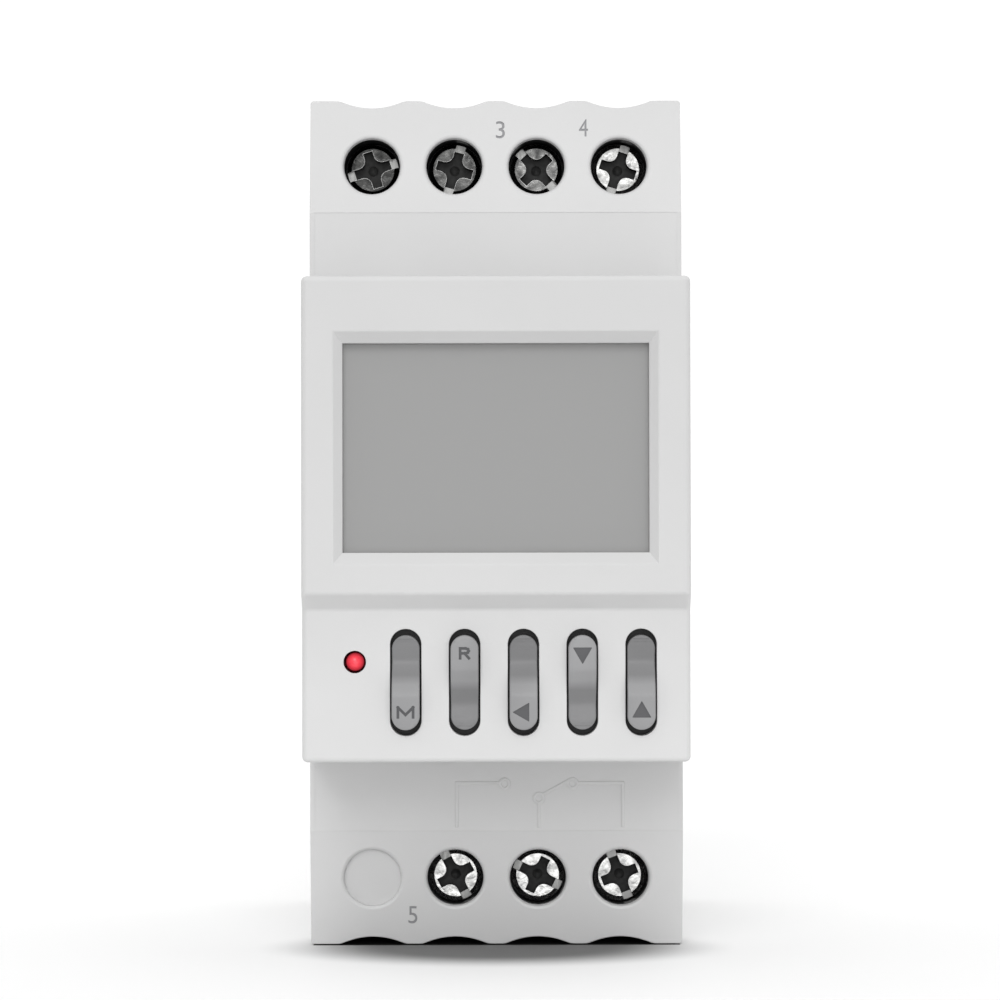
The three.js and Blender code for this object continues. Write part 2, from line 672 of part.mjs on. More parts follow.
const SUPPLY_FRONT = -36;
const SUPPLY_BACK = SUPPLY_FRONT + BOARD_THICKNESS;
const LEG_Z = 28.7; // of the busbar legs, above and below the middle

function powerBoard() {
  const depth = [SUPPLY_FRONT, SUPPLY_BACK];
  const notches = TERMINALS.map(({ x, row }) =>
    block([x - 2.1, x + 2.1], [SUPPLY_FRONT - 1, SUPPLY_BACK + 1], heights(row, LEG_Z - 0.8, LEG_Z + 2)),
  );
  return cut(
    block([-15.9, 15.9], depth, [-29.5, 29.5]),
    ...notches,
    ...LINK_PINS.map((x) => pinHole(x, LINK_Z, depth)),
  );
}
place("power_board", powerBoard(), boardGreen);

function boardLink() {
  const first = LINK_PINS[0];
  const last = LINK_PINS[LINK_PINS.length - 1];
  const bar = block([first - 1.27, last + 1.27], [SUPPLY_FRONT - 2.6, SUPPLY_FRONT - 0.05], [-1.27, 1.27]);
  const pins = LINK_PINS.map((x) =>
    block([x - 0.3, x + 0.3], [BOARD_FRONT - 0.6, SUPPLY_BACK + 0.7], [-0.3, 0.3]),
  );
  return join(bar, ...pins);
}
place("board_link", boardLink(), chipBlack, [0, 0, LINK_Z]);

const onSupplyBoard = SUPPLY_BACK + 0.05;

const relaySolid = prismY(roundedRectangle([-6.35, 6.35], [-14.5, 14.5], 0.6), [0.4, 15.7], 2);
const relayFeet = [-12.5, 12.5].map((z) => block([-5.5, 5.5], [0, 0.6], [z - 0.8, z + 0.8]));
place("relay", join(relaySolid, ...relayFeet), relayBlue, [-8.9, onSupplyBoard, 0.5]);

const filmCapacitor = prismY(roundedRectangle([-4.25, 4.25], [-9, 9], 0.5), [0, 15], 2);
place("film_capacitor", filmCapacitor, capacitorYellow, [8.8, onSupplyBoard, 12]);

const smoothingCapacitor = cut(
  barY(4, 4, [0, 12], [0, 0], ROUND),
  block([-0.3, 0.3], [11.7, 13], [-2.6, 2.6]),
  block([-2.6, 2.6], [11.7, 13], [-0.3, 0.3]),
);
place("smoothing_capacitor", smoothingCapacitor, sleeveBlack, [9, onSupplyBoard, -22.6]);

function varistor() {
  const disc = new THREE.CylinderGeometry(5, 5, 3.6, ROUND).rotateX(Math.PI / 2).translate(0, 7.2, 0);
  const legs = [-2.5, 2.5].map((x) => block([x - 0.35, x + 0.35], [0, 4], [-0.35, 0.35]));
  return join(solidOf(disc), ...legs);
}
place("varistor", varistor(), discBlue, [9, onSupplyBoard, -14]);

// ---------- terminals: screw, rising cage and busbar

const HEAD_HEIGHT = 1.9;
const SCREW_LENGTH = 9.4;
const CAGE_WALL = 1.4; // the threaded one
const CAGE_INSIDE = 1.2 + BUSBAR_THICKNESS + WIRE_GAP;
const CAGE_BACK = 1.2;
const CAGE_LENGTH = CAGE_WALL + CAGE_INSIDE + CAGE_BACK;
const CAGE_OPEN_FRONT = BUSBAR_FRONT - 1.2 - CAGE_WALL; // y of a fully opened cage

// Cross and slot combined: the head takes either driver. y = 0 is the top of the head.
function terminalScrew() {
  const rim = 2.25;
  const profile = [
    [0, 0],
    [rim, 0],
    [HEAD_RADIUS, 0.5],
    [HEAD_RADIUS, HEAD_HEIGHT],
    [SCREW_THREAD, HEAD_HEIGHT],
    [SCREW_THREAD, SCREW_LENGTH - 0.5],
    [SCREW_THREAD - 0.4, SCREW_LENGTH],
    [0, SCREW_LENGTH],
  ].map(([r, y]) => new THREE.Vector2(r, y));
  const blank = solidOf(new THREE.LatheGeometry(profile, ROUND));
  const slot = block([-HEAD_RADIUS - 1, HEAD_RADIUS + 1], [-1, 0.7], [-0.45, 0.45]);
  const crossArm = [
    block([-1.75, 1.75], [-1, 1.5], [-0.5, 0.5]),
    block([-0.5, 0.5], [-1, 1.5], [-1.75, 1.75]),
  ];
  const socket = barY(1.15, 0.5, [-0.1, 1.7], [0, 0], 12);
  return cut(blank, slot, ...crossArm, socket);
}

// y = 0 is the face towards the screw head; the wire passes through along Z.
function terminalCage() {
  const outside = block([-3.2, 3.2], [0, CAGE_LENGTH], [-2.8, 2.8]);
  const window = block([-2.4, 2.4], [CAGE_WALL, CAGE_WALL + CAGE_INSIDE], [-4, 4]);
  const tapped = barY(SCREW_THREAD + 0.1, SCREW_THREAD + 0.1, [-1, CAGE_WALL + 1]);
  return cut(outside, window, tapped);
}

// An angle of brass: one arm lies through the cage, the other is soldered to the supply board.
function busbar(row) {
  const thickness = [BUSBAR_FRONT, BUSBAR_FRONT + BUSBAR_THICKNESS];
  const arm = block([-1.9, 1.9], thickness, heights(row, LEG_Z - 0.5, 38.2));
  const leg = block(
    [-1.9, 1.9],
    [SUPPLY_FRONT - 0.8, BUSBAR_FRONT + BUSBAR_THICKNESS],
    heights(row, LEG_Z - 0.5, LEG_Z + 0.5),
  );
  return join(arm, leg);
}

for (const { name, row, x, angle } of TERMINALS) {
  const z = row * TERMINAL_HEIGHT;
  // The angle is counted anticlockwise as seen from the front, which is backwards about +Y.
  const turn = -THREE.MathUtils.degToRad(angle);
  place(`terminal_screw_${name}`, terminalScrew(), platedSteel, [x, SCREW_TOP, z], turn);
  place(`terminal_cage_${name}`, terminalCage(), platedSteel, [x, CAGE_OPEN_FRONT, z]);
  place(`busbar_${name}`, busbar(row), brass, [x, 0, 0]);
}

// ---------- rear base: rail channel, fixed hook and the guide of the latch

const BASE_FRONT = PARTING + GAP / 2;
const CHANNEL_TOP = 17.7;
const CHANNEL_BOTTOM = -17.9;
const HOOK_REACH = 16.2; // the fixed hook's lip comes down to this height
const LIP_FRONT = 1.4; // room for a 1 mm rail flange behind the seat
const SEAT_HALF = 15.6; // the flat seat; beyond it the channel's corners are relieved
const LATCH_HALF_WIDTH = 5.2;
const LATCH_FLANGE_HALF = 6.7;
const LATCH_BOTTOM = -40.5;

function railChannel() {
  const profile = outline(
    [0, -SEAT_HALF],
    [-0.3, -SEAT_HALF - 0.4],
    [-0.3, CHANNEL_BOTTOM],
    [REAR + 1, CHANNEL_BOTTOM],
    [REAR + 1, CHANNEL_TOP],
    [REAR, HOOK_REACH + 1.2],
    [LIP_FRONT + 1, HOOK_REACH],
    [LIP_FRONT, HOOK_REACH],
    [LIP_FRONT, CHANNEL_TOP],
    [-0.3, CHANNEL_TOP],
    [-0.3, SEAT_HALF + 0.4],
    [0, SEAT_HALF],
  );
  return prismX(profile, [-HALF_WIDTH - 1, HALF_WIDTH + 1]);
}

function latchGuide() {
  const neck = block([-5.4, 5.4], [2.9, REAR + 1], [-HALF_HEIGHT - 1, CHANNEL_BOTTOM + 0.1]);
  const slide = block([-6.9, 6.9], [1.1, 3.1], [-39.2, CHANNEL_BOTTOM + 0.1]);
  const springPocket = block([-2.3, 2.3], [-3.2, 1.3], [-37, -27.1]);
  return join(neck, slide, springPocket);
}

// Hooked arms on both sides click into the windows of the main housing.
function baseSnaps() {
  const profile = outline([-9, 14.6], [-9, 15.9], [-12.2, 15.9], [-12.2, 17.3], [-13.8, 15.9], [-13.8, 14.6]);
  return [-SNAP_Z, SNAP_Z].flatMap((z) => {
    // Drawn in Y and X, so it is pushed along Z and then laid over to each side.
    const depth = 2 * SNAP_HALF_LENGTH;
    const geometry = new THREE.ExtrudeGeometry(profile, { depth, bevelEnabled: false });
    const flip = new THREE.Matrix4().makeBasis(
      new THREE.Vector3(0, 1, 0),
      new THREE.Vector3(1, 0, 0),
      new THREE.Vector3(0, 0, -1),
    );
    const right = geometry.applyMatrix4(flip).translate(0, 0, z + SNAP_HALF_LENGTH);
    const left = right.clone().rotateZ(Math.PI).rotateX(Math.PI);
    return [solidOf(right), solidOf(left.translate(0, 0, 2 * z))];
  });
}

// Fingers that close the wall of each terminal chamber behind its busbar.
function slotFingers() {
  const front = BUSBAR_FRONT + BUSBAR_THICKNESS + 0.3;
  return TERMINALS.map(({ x, row }) => {
    const width = [x - BUSBAR_SLOT_HALF + 0.3, x + BUSBAR_SLOT_HALF - 0.3];
    return block(width, [front, BASE_FRONT + 1], heights(row, CAVITY_HALF_HEIGHT + 0.1, CHAMBER_LOW - 0.1));
  });
}

function rearBase() {
  const frame = roundedRectangle([-HALF_WIDTH, HALF_WIDTH], [-HALF_HEIGHT, HALF_HEIGHT], CORNER);
  const envelope = prismY(frame, [BASE_FRONT, REAR], 3);
  const inX = [-HALF_WIDTH + WALL, HALF_WIDTH - WALL];
  const inZ = HALF_HEIGHT - WALL;
  const hollows = [
    block(inX, [PARTING - 1, -2], [-inZ, inZ]),
    block(inX, [PARTING - 1, REAR - WALL], [CHANNEL_TOP + WALL, inZ]),
    block([-HALF_WIDTH + WALL, -8.8], [PARTING - 1, REAR - WALL], [-inZ, CHANNEL_BOTTOM - WALL]),
    block([8.8, HALF_WIDTH - WALL], [PARTING - 1, REAR - WALL], [-inZ, CHANNEL_BOTTOM - WALL]),
  ];
  const springBox = block([-4.3, 4.3], [-5, -1], [-inZ - 0.5, -25.3]);
  const fingerRoots = [UPPER, LOWER].map((row) =>
    block(inX, [BASE_FRONT, -1], heights(row, CAVITY_HALF_HEIGHT + 0.1, CHAMBER_LOW + 0.8)),
  );
  const fingers = [...slotFingers(), ...fingerRoots];
  const sideRails = [-1, 1].map((side) =>
    block(side < 0 ? [-16.5, -14.6] : [14.6, 16.5], [BASE_FRONT, -1], [-24, 24]),
  );
  return cut(
    join(cut(envelope, ...hollows), springBox, ...sideRails, ...baseSnaps(), ...fingers),
    railChannel(),
    latchGuide(),
  );
}

place("rear_base", rearBase(), housingWhite);

// ---------- rail latch and its spring

function railLatch() {
  const profile = outline(
    [5.7, LATCH_BOTTOM],
    [5.7, -18.2],
    [2.4, -16.3],
    [1.5, -16.3],
    [1.5, -18.6],
    [3, -18.6],
    [3, LATCH_BOTTOM],
  );
  const tongue = prismX(profile, [-LATCH_HALF_WIDTH, LATCH_HALF_WIDTH]);
  const flange = block([-LATCH_FLANGE_HALF, LATCH_FLANGE_HALF], [1.3, 2.8], [-34, -20]);
  const web = block([-LATCH_HALF_WIDTH, LATCH_HALF_WIDTH], [1.5, 3.2], [-34, -18.4]);
  const springTab = block([-1.9, 1.9], [-2.7, 2], [-28.6, -27.2]);
  const pryHole = block([-2.6, 2.6], [0, REAR + 1], [-39.4, -37.8]);
  return cut(join(tongue, flange, web, springTab), pryHole);
}
place("rail_latch", railLatch(), latchBlack);

const SPRING_BOTTOM = -36.9;
const SPRING_TOP = -28.7;

class CoilCurve extends THREE.Curve {
  constructor(radius, turns, height) {
    super();
    Object.assign(this, { radius, turns, height });
  }
  getPoint(t, target = new THREE.Vector3()) {
    const swing = 2 * Math.PI * this.turns * t;
    return target.set(this.radius * Math.cos(swing), this.radius * Math.sin(swing), this.height * t);
  }
}

function latchSpring() {
  const wire = 0.25;
  const turns = 6;
  const radius = 1.5;
  const section = new THREE.Shape();
  section.absarc(0, 0, wire, 0, 2 * Math.PI);
  const path = new CoilCurve(radius, turns, SPRING_TOP - SPRING_BOTTOM - 4 * wire);
  const geometry = new THREE.ExtrudeGeometry(section, {
    steps: turns * 12,
    extrudePath: path,
    bevelEnabled: false,
    curveSegments: 3,
  });
  return solidOf(geometry.translate(0, 0, 2 * wire));
}
place("latch_spring", latchSpring(), springSteel, [0, -0.9, SPRING_BOTTOM]);

export default timer;
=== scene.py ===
import json
from math import atan2, cos, hypot, pi, radians, sin, sqrt, tau

import bpy
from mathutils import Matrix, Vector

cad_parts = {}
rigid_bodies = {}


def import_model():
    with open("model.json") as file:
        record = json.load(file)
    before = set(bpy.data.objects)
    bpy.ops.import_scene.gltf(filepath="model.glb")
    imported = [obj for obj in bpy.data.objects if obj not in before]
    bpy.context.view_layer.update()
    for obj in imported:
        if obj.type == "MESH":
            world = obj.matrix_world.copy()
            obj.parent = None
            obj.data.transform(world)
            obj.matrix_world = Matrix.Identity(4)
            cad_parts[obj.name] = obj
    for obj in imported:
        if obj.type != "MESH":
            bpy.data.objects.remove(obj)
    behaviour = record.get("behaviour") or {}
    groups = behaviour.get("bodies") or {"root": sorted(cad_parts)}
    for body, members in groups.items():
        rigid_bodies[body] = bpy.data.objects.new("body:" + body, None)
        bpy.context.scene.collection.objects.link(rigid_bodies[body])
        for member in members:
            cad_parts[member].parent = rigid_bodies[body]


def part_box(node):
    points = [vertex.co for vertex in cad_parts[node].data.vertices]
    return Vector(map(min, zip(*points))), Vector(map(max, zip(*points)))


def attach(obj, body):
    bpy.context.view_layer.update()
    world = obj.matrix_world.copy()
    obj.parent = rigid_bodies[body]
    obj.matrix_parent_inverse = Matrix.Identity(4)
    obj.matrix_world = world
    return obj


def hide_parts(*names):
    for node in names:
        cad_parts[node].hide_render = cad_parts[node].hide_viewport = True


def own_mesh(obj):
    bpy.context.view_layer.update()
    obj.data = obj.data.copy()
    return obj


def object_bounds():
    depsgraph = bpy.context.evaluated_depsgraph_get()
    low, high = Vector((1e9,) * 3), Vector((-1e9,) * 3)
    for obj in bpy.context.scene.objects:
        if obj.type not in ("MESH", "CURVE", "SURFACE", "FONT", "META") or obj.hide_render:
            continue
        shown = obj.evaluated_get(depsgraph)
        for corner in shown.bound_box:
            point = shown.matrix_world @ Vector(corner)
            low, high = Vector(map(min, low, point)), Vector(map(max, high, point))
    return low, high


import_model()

cad_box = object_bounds()

# ---------------------------------------------------------------------------
# Camera, light and table. The timer stands on its lower end face on a white
# table, seen square on from the front and a little below its middle. A soft
# sun shines from above in front, a paler one from low in front, in a light tent.
# ---------------------------------------------------------------------------
MM = 0.001
EYE = (0.08, -390.85, -4.25)
TILT = 91.04
LEVEL = 0.106
TURN = -0.049
LENS = 129.15

bpy.ops.object.camera_add(
    location=[value * MM for value in EYE],
    rotation=(radians(TILT), radians(LEVEL), radians(TURN)),
)
camera = bpy.context.object
camera.data.lens = LENS
camera.data.sensor_width = 36
camera.data.clip_start = 0.01
bpy.context.scene.camera = camera
bpy.context.scene.view_settings.view_transform = "Standard"


def sun(name, aim, strength, spread):
    """A lamp that shines evenly towards aim, from a disc spread degrees across."""
    bpy.ops.object.light_add(type="SUN", location=(0, 0, 1))
    lamp = bpy.context.object
    lamp.name = name
    lamp.data.energy = strength
    lamp.data.angle = radians(spread)
    lamp.rotation_euler = type(lamp.location)(aim).to_track_quat("-Z", "Y").to_euler()


sun("key_light", (0.07, 0.84, -0.49), 1.08, 35)
sun("fill_light", (-0.12, 1, 0.18), 1.04, 60)

# A light tent: white above and behind, and dimmer low down in front, where the camera stands.
ROOM_LEVEL = 0.68
ROOM_RISE = (0, 0.36, 0.3)
world = bpy.data.worlds.new("light_tent")
world.use_nodes = True
room = world.node_tree
direction = room.nodes.new("ShaderNodeTexCoord")
slope = room.nodes.new("ShaderNodeVectorMath")
slope.operation = "DOT_PRODUCT"
slope.inputs[1].default_value = ROOM_RISE
level = room.nodes.new("ShaderNodeMath")
level.inputs[1].default_value = ROOM_LEVEL
room.links.new(direction.outputs["Generated"], slope.inputs[0])
room.links.new(slope.outputs["Value"], level.inputs[0])
room.links.new(level.outputs["Value"], room.nodes["Background"].inputs["Strength"])
room.nodes["Background"].inputs["Color"].default_value = (1, 1, 1, 1)
bpy.context.scene.world = world

TABLE_SIZE = 60
TABLE_EDGE = -0.086
TABLE_DROP = 0.0001
bpy.ops.mesh.primitive_plane_add(
    size=TABLE_SIZE, location=(0, TABLE_SIZE / 2 + TABLE_EDGE, cad_box[0][2] - TABLE_DROP)
)
table = bpy.context.object
table.name = "white_table"
bpy.ops.object.transform_apply(location=True)

# The paper has a painted shadow round the foot of the timer, and is painted black underneath it as shade.
PAPER = (0.99, 0.99, 0.99, 1)
SHADE = (0.18, 0.18, 0.18, 1)
UNLIT = (0.004, 0.004, 0.004, 1)
FOOT_MIDDLE = (0, -0.044, 0)
FOOT_HALF = (0.0172, 0.0133, 1)
FOOT_FADE = (0.6, 1.38)
UNDER_MIDDLE = (0, -0.0185, 0)
UNDER_HALF = (0.0178, 0.0235, 1)
table_white = bpy.data.materials.new("table_white")
table_white.use_nodes = True
paper = table_white.node_tree
paper_place = paper.nodes.new("ShaderNodeTexCoord")


def patch(middle, half):
    """The place on the paper, counted from the middle of a patch in halves of its size."""
    across = paper.nodes.new("ShaderNodeMapping")
    across.vector_type = "TEXTURE"
    across.inputs["Location"].default_value = middle
    across.inputs["Scale"].default_value = half
    paper.links.new(paper_place.outputs["Object"], across.inputs["Vector"])
    return across.outputs["Vector"]


def either(value, inner, outer):
    """The inner colour where the value is 0 and the outer one, a colour or a socket, where it is 1."""
    mix = paper.nodes.new("ShaderNodeMix")
    mix.data_type = "RGBA"
    mix.inputs["A"].default_value = inner
    if isinstance(outer, tuple):
        mix.inputs["B"].default_value = outer
    else:
        paper.links.new(outer, mix.inputs["B"])
    paper.links.new(value, mix.inputs["Factor"])
    return mix.outputs["Result"]


# The painted shadow: darkest near the foot, fading to plain paper further out.
reach = paper.nodes.new("ShaderNodeVectorMath")
reach.operation = "LENGTH"
paper.links.new(patch(FOOT_MIDDLE, FOOT_HALF), reach.inputs[0])
fade = paper.nodes.new("ShaderNodeMapRange")
fade.interpolation_type = "SMOOTHSTEP"
fade.inputs["From Min"].default_value, fade.inputs["From Max"].default_value = FOOT_FADE
paper.links.new(reach.outputs["Value"], fade.inputs["Value"])
shaded = either(fade.outputs["Result"], SHADE, PAPER)

# Under the housing the paper is painted black, as shade where no light reaches.
sides = paper.nodes.new("ShaderNodeVectorMath")
sides.operation = "ABSOLUTE"
paper.links.new(patch(UNDER_MIDDLE, UNDER_HALF), sides.inputs[0])
sides_apart = paper.nodes.new("ShaderNodeSeparateXYZ")
paper.links.new(sides.outputs["Vector"], sides_apart.inputs["Vector"])
farthest = paper.nodes.new("ShaderNodeMath")
farthest.operation = "MAXIMUM"
paper.links.new(sides_apart.outputs["X"], farthest.inputs[0])
paper.links.new(sides_apart.outputs["Y"], farthest.inputs[1])
outside = paper.nodes.new("ShaderNodeMath")
outside.operation = "GREATER_THAN"
outside.inputs[1].default_value = 1
paper.links.new(farthest.outputs["Value"], outside.inputs[0])
paper_shader = paper.nodes["Principled BSDF"]
paper.links.new(either(outside.outputs["Value"], UNLIT, shaded), paper_shader.inputs["Base Color"])
paper_shader.inputs["Roughness"].default_value = 0.8
table.data.materials.append(table_white)


# ---------------------------------------------------------------------------
# Main housing: one light grey moulding with scalloped ends, a sloping screw
# deck at each end and a deep round well over every terminal screw. It comes
# out of a finely eroded steel tool. The insides of the wells, screw holes and chambers are painted black
# as shade.
# ---------------------------------------------------------------------------
def bare():
    if bpy.context.mode != "OBJECT":
        bpy.ops.object.mode_set(mode="OBJECT")
    bpy.ops.object.select_all(action="DESELECT")


def hold(piece):
    bare()
    piece.select_set(True)
    bpy.context.view_layer.objects.active = piece
    return piece


def settle(piece):
    """The piece's place goes into its mesh."""
    hold(piece)
    bpy.ops.object.transform_apply(location=True, rotation=True, scale=True)
    return piece


def named(name):
    piece = bpy.context.object
    piece.name = name
    piece.data.name = name
    return piece


def slab(name, x, y, z):
    """A box between two corners, in millimetres."""
    bare()
    bpy.ops.mesh.primitive_cube_add(size=MM, location=[(a + b) / 2 * MM for a, b in (x, y, z)])
    piece = named(name)
    piece.scale = [b - a for a, b in (x, y, z)]
    return settle(piece)


def turned(name, rings, at=(0, 0), sides=64):
    """A round piece about an axis along Y, from rings of radius and depth in millimetres."""
    bare()
    radius, y = rings[0]
    x, z = at
    bpy.ops.mesh.primitive_circle_add(
        vertices=sides, radius=radius * MM, fill_type="NGON",
        location=(x * MM, y * MM, z * MM), rotation=(pi / 2, 0, 0),
    )
    piece = settle(named(name))
    bpy.ops.object.mode_set(mode="EDIT")
    bpy.ops.mesh.select_all(action="SELECT")
    for next_radius, next_y in rings[1:]:
        move = (0, (next_y - y) * MM, 0)
        bpy.ops.mesh.extrude_region_move(TRANSFORM_OT_translate={"value": move})
        ratio = next_radius / radius
        centre = (x * MM, next_y * MM, z * MM)
        bpy.ops.transform.resize(value=(ratio, 1, ratio), center_override=centre)
        radius, y = next_radius, next_y
    bpy.ops.mesh.select_all(action="SELECT")
    bpy.ops.mesh.normals_make_consistent(inside=False)
    bare()
    return piece


def finger(name, width, height, at, y, sides=50):
    """An upright bar with round ends in front view, from depth y[0] to y[1], in millimetres."""
    piece = turned(name, [(width / 2, y[0]), (width / 2, y[1])], at, sides)
    reach = (height - width) / 2 * MM
    for vertex in piece.data.vertices:
        vertex.co.z += reach if vertex.co.z > at[1] * MM else -reach
    return piece


def combine(piece, others, operation):
    for other in others:
        hold(piece)
        change = piece.modifiers.new("combine", "BOOLEAN")
        change.operation = operation
        change.solver = "EXACT"
        change.material_mode = "TRANSFER" if other.data.materials else "INDEX"
        change.object = other
        bpy.ops.object.modifier_apply(modifier=change.name)
        bpy.data.objects.remove(other)
    return piece


def carve(piece, *cutters):
    return combine(piece, cutters, "DIFFERENCE")


def weld(piece, *others):
    return combine(piece, others, "UNION")


def round_edges(piece, width, segments, chosen):
    """Rounds the edges for which chosen(end, end, face normals) is true; places in millimetres."""
    hold(piece)
    mesh = piece.data
    normals = {}
    for face in mesh.polygons:
        for key in face.edge_keys:
            normals.setdefault(key, []).append(face.normal)
    bpy.ops.object.mode_set(mode="EDIT")
    bpy.ops.mesh.select_mode(type="EDGE")
    bpy.ops.mesh.select_all(action="DESELECT")
    bpy.ops.object.mode_set(mode="OBJECT")
    for edge in mesh.edges:
        a, b = (mesh.vertices[i].co / MM for i in edge.vertices)
        edge.select = bool(chosen(a, b, normals[edge.key]))
    bpy.ops.object.mode_set(mode="EDIT")
    bpy.ops.mesh.bevel(offset=width * MM, segments=segments, affect="EDGES", clamp_overlap=True)
    bare()
    return piece


def smooth(piece, angle=35):
    hold(piece)
    bpy.ops.object.shade_smooth_by_angle(angle=radians(angle))
    level = piece.modifiers.new("even_normals", "WEIGHTED_NORMAL")
    level.keep_sharp = True
    bpy.ops.object.modifier_apply(modifier=level.name)
    return piece


def own_material(name):
    """A material with Object coordinates ready, its node tree, and its Principled shader."""
    material = bpy.data.materials.new(name)
    material.use_nodes = True
    tree = material.node_tree
    place = tree.nodes.new("ShaderNodeTexCoord")
    return material, tree, tree.nodes["Principled BSDF"], place.outputs["Object"]


def cloud(tree, place, size, detail=2.0):
    """Noise whose patches are about size millimetres across."""
    noise = tree.nodes.new("ShaderNodeTexNoise")
    noise.inputs["Scale"].default_value = 1 / (size * MM)
    noise.inputs["Detail"].default_value = detail
    tree.links.new(place, noise.inputs["Vector"])
    return noise.outputs["Fac"]


def spread(tree, value, low, high):
    """The middle of a noise value stretched to run from low to high."""
    scale = tree.nodes.new("ShaderNodeMapRange")
    scale.inputs["From Min"].default_value = 0.3
    scale.inputs["From Max"].default_value = 0.7
    scale.inputs["To Min"].default_value = low
    scale.inputs["To Max"].default_value = high
    tree.links.new(value, scale.inputs["Value"])
    return scale.outputs["Result"]


def tinted(tree, shader, value, dark, light):
    mix = tree.nodes.new("ShaderNodeMix")
    mix.data_type = "RGBA"
    mix.inputs["A"].default_value = (*dark, 1)
    mix.inputs["B"].default_value = (*light, 1)
    tree.links.new(value, mix.inputs["Factor"])
    tree.links.new(mix.outputs["Result"], shader.inputs["Base Color"])


def bumped(tree, shader, height, depth, strength=1.0):
    """Relief of depth millimetres."""
    bump = tree.nodes.new("ShaderNodeBump")
    bump.inputs["Distance"].default_value = depth * MM
    bump.inputs["Strength"].default_value = strength
    tree.links.new(height, bump.inputs["Height"])
    tree.links.new(bump.outputs["Normal"], shader.inputs["Normal"])


def moulded(name, colour, roughness, grain=0.12, depth=0.006, drift=0.03):
    """Moulded plastic: a fine eroded grain, with faint flow marks in its colour and gloss."""
    material, tree, shader, place = own_material(name)
    marks = spread(tree, cloud(tree, place, 9, 3), 0, 1)
    darker = [c * (1 - drift) for c in colour]
    lighter = [min(1, c * (1 + drift)) for c in colour]
    tinted(tree, shader, marks, darker, lighter)
    fine = cloud(tree, place, grain, 3)
    tree.links.new(spread(tree, fine, roughness - 0.05, roughness + 0.07), shader.inputs["Roughness"])
    bumped(tree, shader, fine, depth)
    shader.inputs["Specular IOR Level"].default_value = 0.42
    return material


housing_plastic = moulded("housing_plastic", (0.63, 0.63, 0.63), 0.5, drift=0.012)
# Near black, painted into deep bores, holes and gaps as shade.
well_black = moulded("well_black", (0.012, 0.012, 0.013), 0.42)
number_ink = moulded("number_ink", (0.3, 0.3, 0.31), 0.55)

COLUMNS = (-12, -4, 4, 12)
TERMINAL_HEIGHT = 34.5
UPPER = 1
LOWER = -1
TERMINALS = [(UPPER, x) for x in COLUMNS] + [(LOWER, x) for x in COLUMNS[1:]]
BLANK = (LOWER, COLUMNS[0])

HALF_WIDTH = 18
HALF_HEIGHT = 41
SHOULDER = -44
DECK_START = 29.9
DECK_EDGE = -42
HOUSING_BACK = -10.05
SCALLOP_DEPTH = 0.72
SCALLOP_HALF = 3.15
SCALLOP_BLEND = 0.09


def deck(z):
    """Depth of the housing's front at a height."""
    slope = (DECK_EDGE - SHOULDER) / (HALF_HEIGHT - DECK_START)
    return SHOULDER + slope * max(0, abs(z) - DECK_START)


def scallop(x):
    """How far an end face is hollowed at x: a trough with soft shoulders over every terminal."""
    nearest = min(abs(x - column) for column in COLUMNS)
    arc = 1 - (nearest / SCALLOP_HALF) ** 2
    return SCALLOP_DEPTH * (arc + sqrt(arc * arc + SCALLOP_BLEND ** 2)) / 2 if nearest < 4 else 0


bare()
bpy.ops.mesh.primitive_grid_add(x_subdivisions=120, y_subdivisions=3, size=2)
housing = named("main_housing_shell")
ROW_HEIGHTS = {-1: -HALF_HEIGHT, 0: -DECK_START, 1: DECK_START, 2: HALF_HEIGHT}
for vertex in housing.data.vertices:
    x = vertex.co.x * HALF_WIDTH
    row = round((vertex.co.y + 1) * 1.5) - 1
    z = ROW_HEIGHTS[row]
    if row in (-1, 2):
        z -= scallop(x) * (1 if z > 0 else -1)
    vertex.co = (x * MM, deck(z) * MM, z * MM)
bpy.ops.object.mode_set(mode="EDIT")
bpy.ops.mesh.select_all(action="SELECT")
bpy.ops.mesh.extrude_region_move(TRANSFORM_OT_translate={"value": (0, 30 * MM, 0)})
bpy.ops.object.mode_set(mode="OBJECT")
for vertex in housing.data.vertices:
    if vertex.co.y > -20 * MM:
        vertex.co.y = HOUSING_BACK * MM
bpy.ops.object.mode_set(mode="EDIT")
bpy.ops.mesh.select_all(action="SELECT")
bpy.ops.mesh.normals_make_consistent(inside=False)
bpy.ops.mesh.dissolve_limited(angle_limit=radians(0.2))
housing.data.materials.append(housing_plastic)


def along_depth_corner(a, b, faces):
    """The four long corners, where a side face meets an end face."""
    runs_back = abs(a.y - b.y) > 5
    return runs_back and abs(a.x) > HALF_WIDTH - 0.01 and abs(abs(a.z) - HALF_HEIGHT) < 0.9


def front_rim(a, b, faces):
    """The whole rim where the front meets the sides and ends."""
    if max(a.y, b.y) > DECK_EDGE + 0.3 or len(faces) != 2:
        return False
    forward = [face.y < -0.9 for face in faces]
    return forward[0] != forward[1]


def end_rim(a, b, faces):
    """The rim where the front meets the scalloped ends."""
    return front_rim(a, b, faces) and abs(a.z) > HALF_HEIGHT - 1.2 and abs(b.z) > HALF_HEIGHT - 1.2


round_edges(housing, 0.3, 4, along_depth_corner)
round_edges(housing, 0.11, 3, end_rim)
round_edges(housing, 0.25, 4, front_rim)


def heights(row, low, high):
    """A pair of heights mirrored to the row, low one first."""
    return (low, high) if row == UPPER else (-high, -low)


WELL = 2.75
RIM = 0.38
RIM_START = 0.12
RIM_STEPS = 6
LEDGE = -37.6


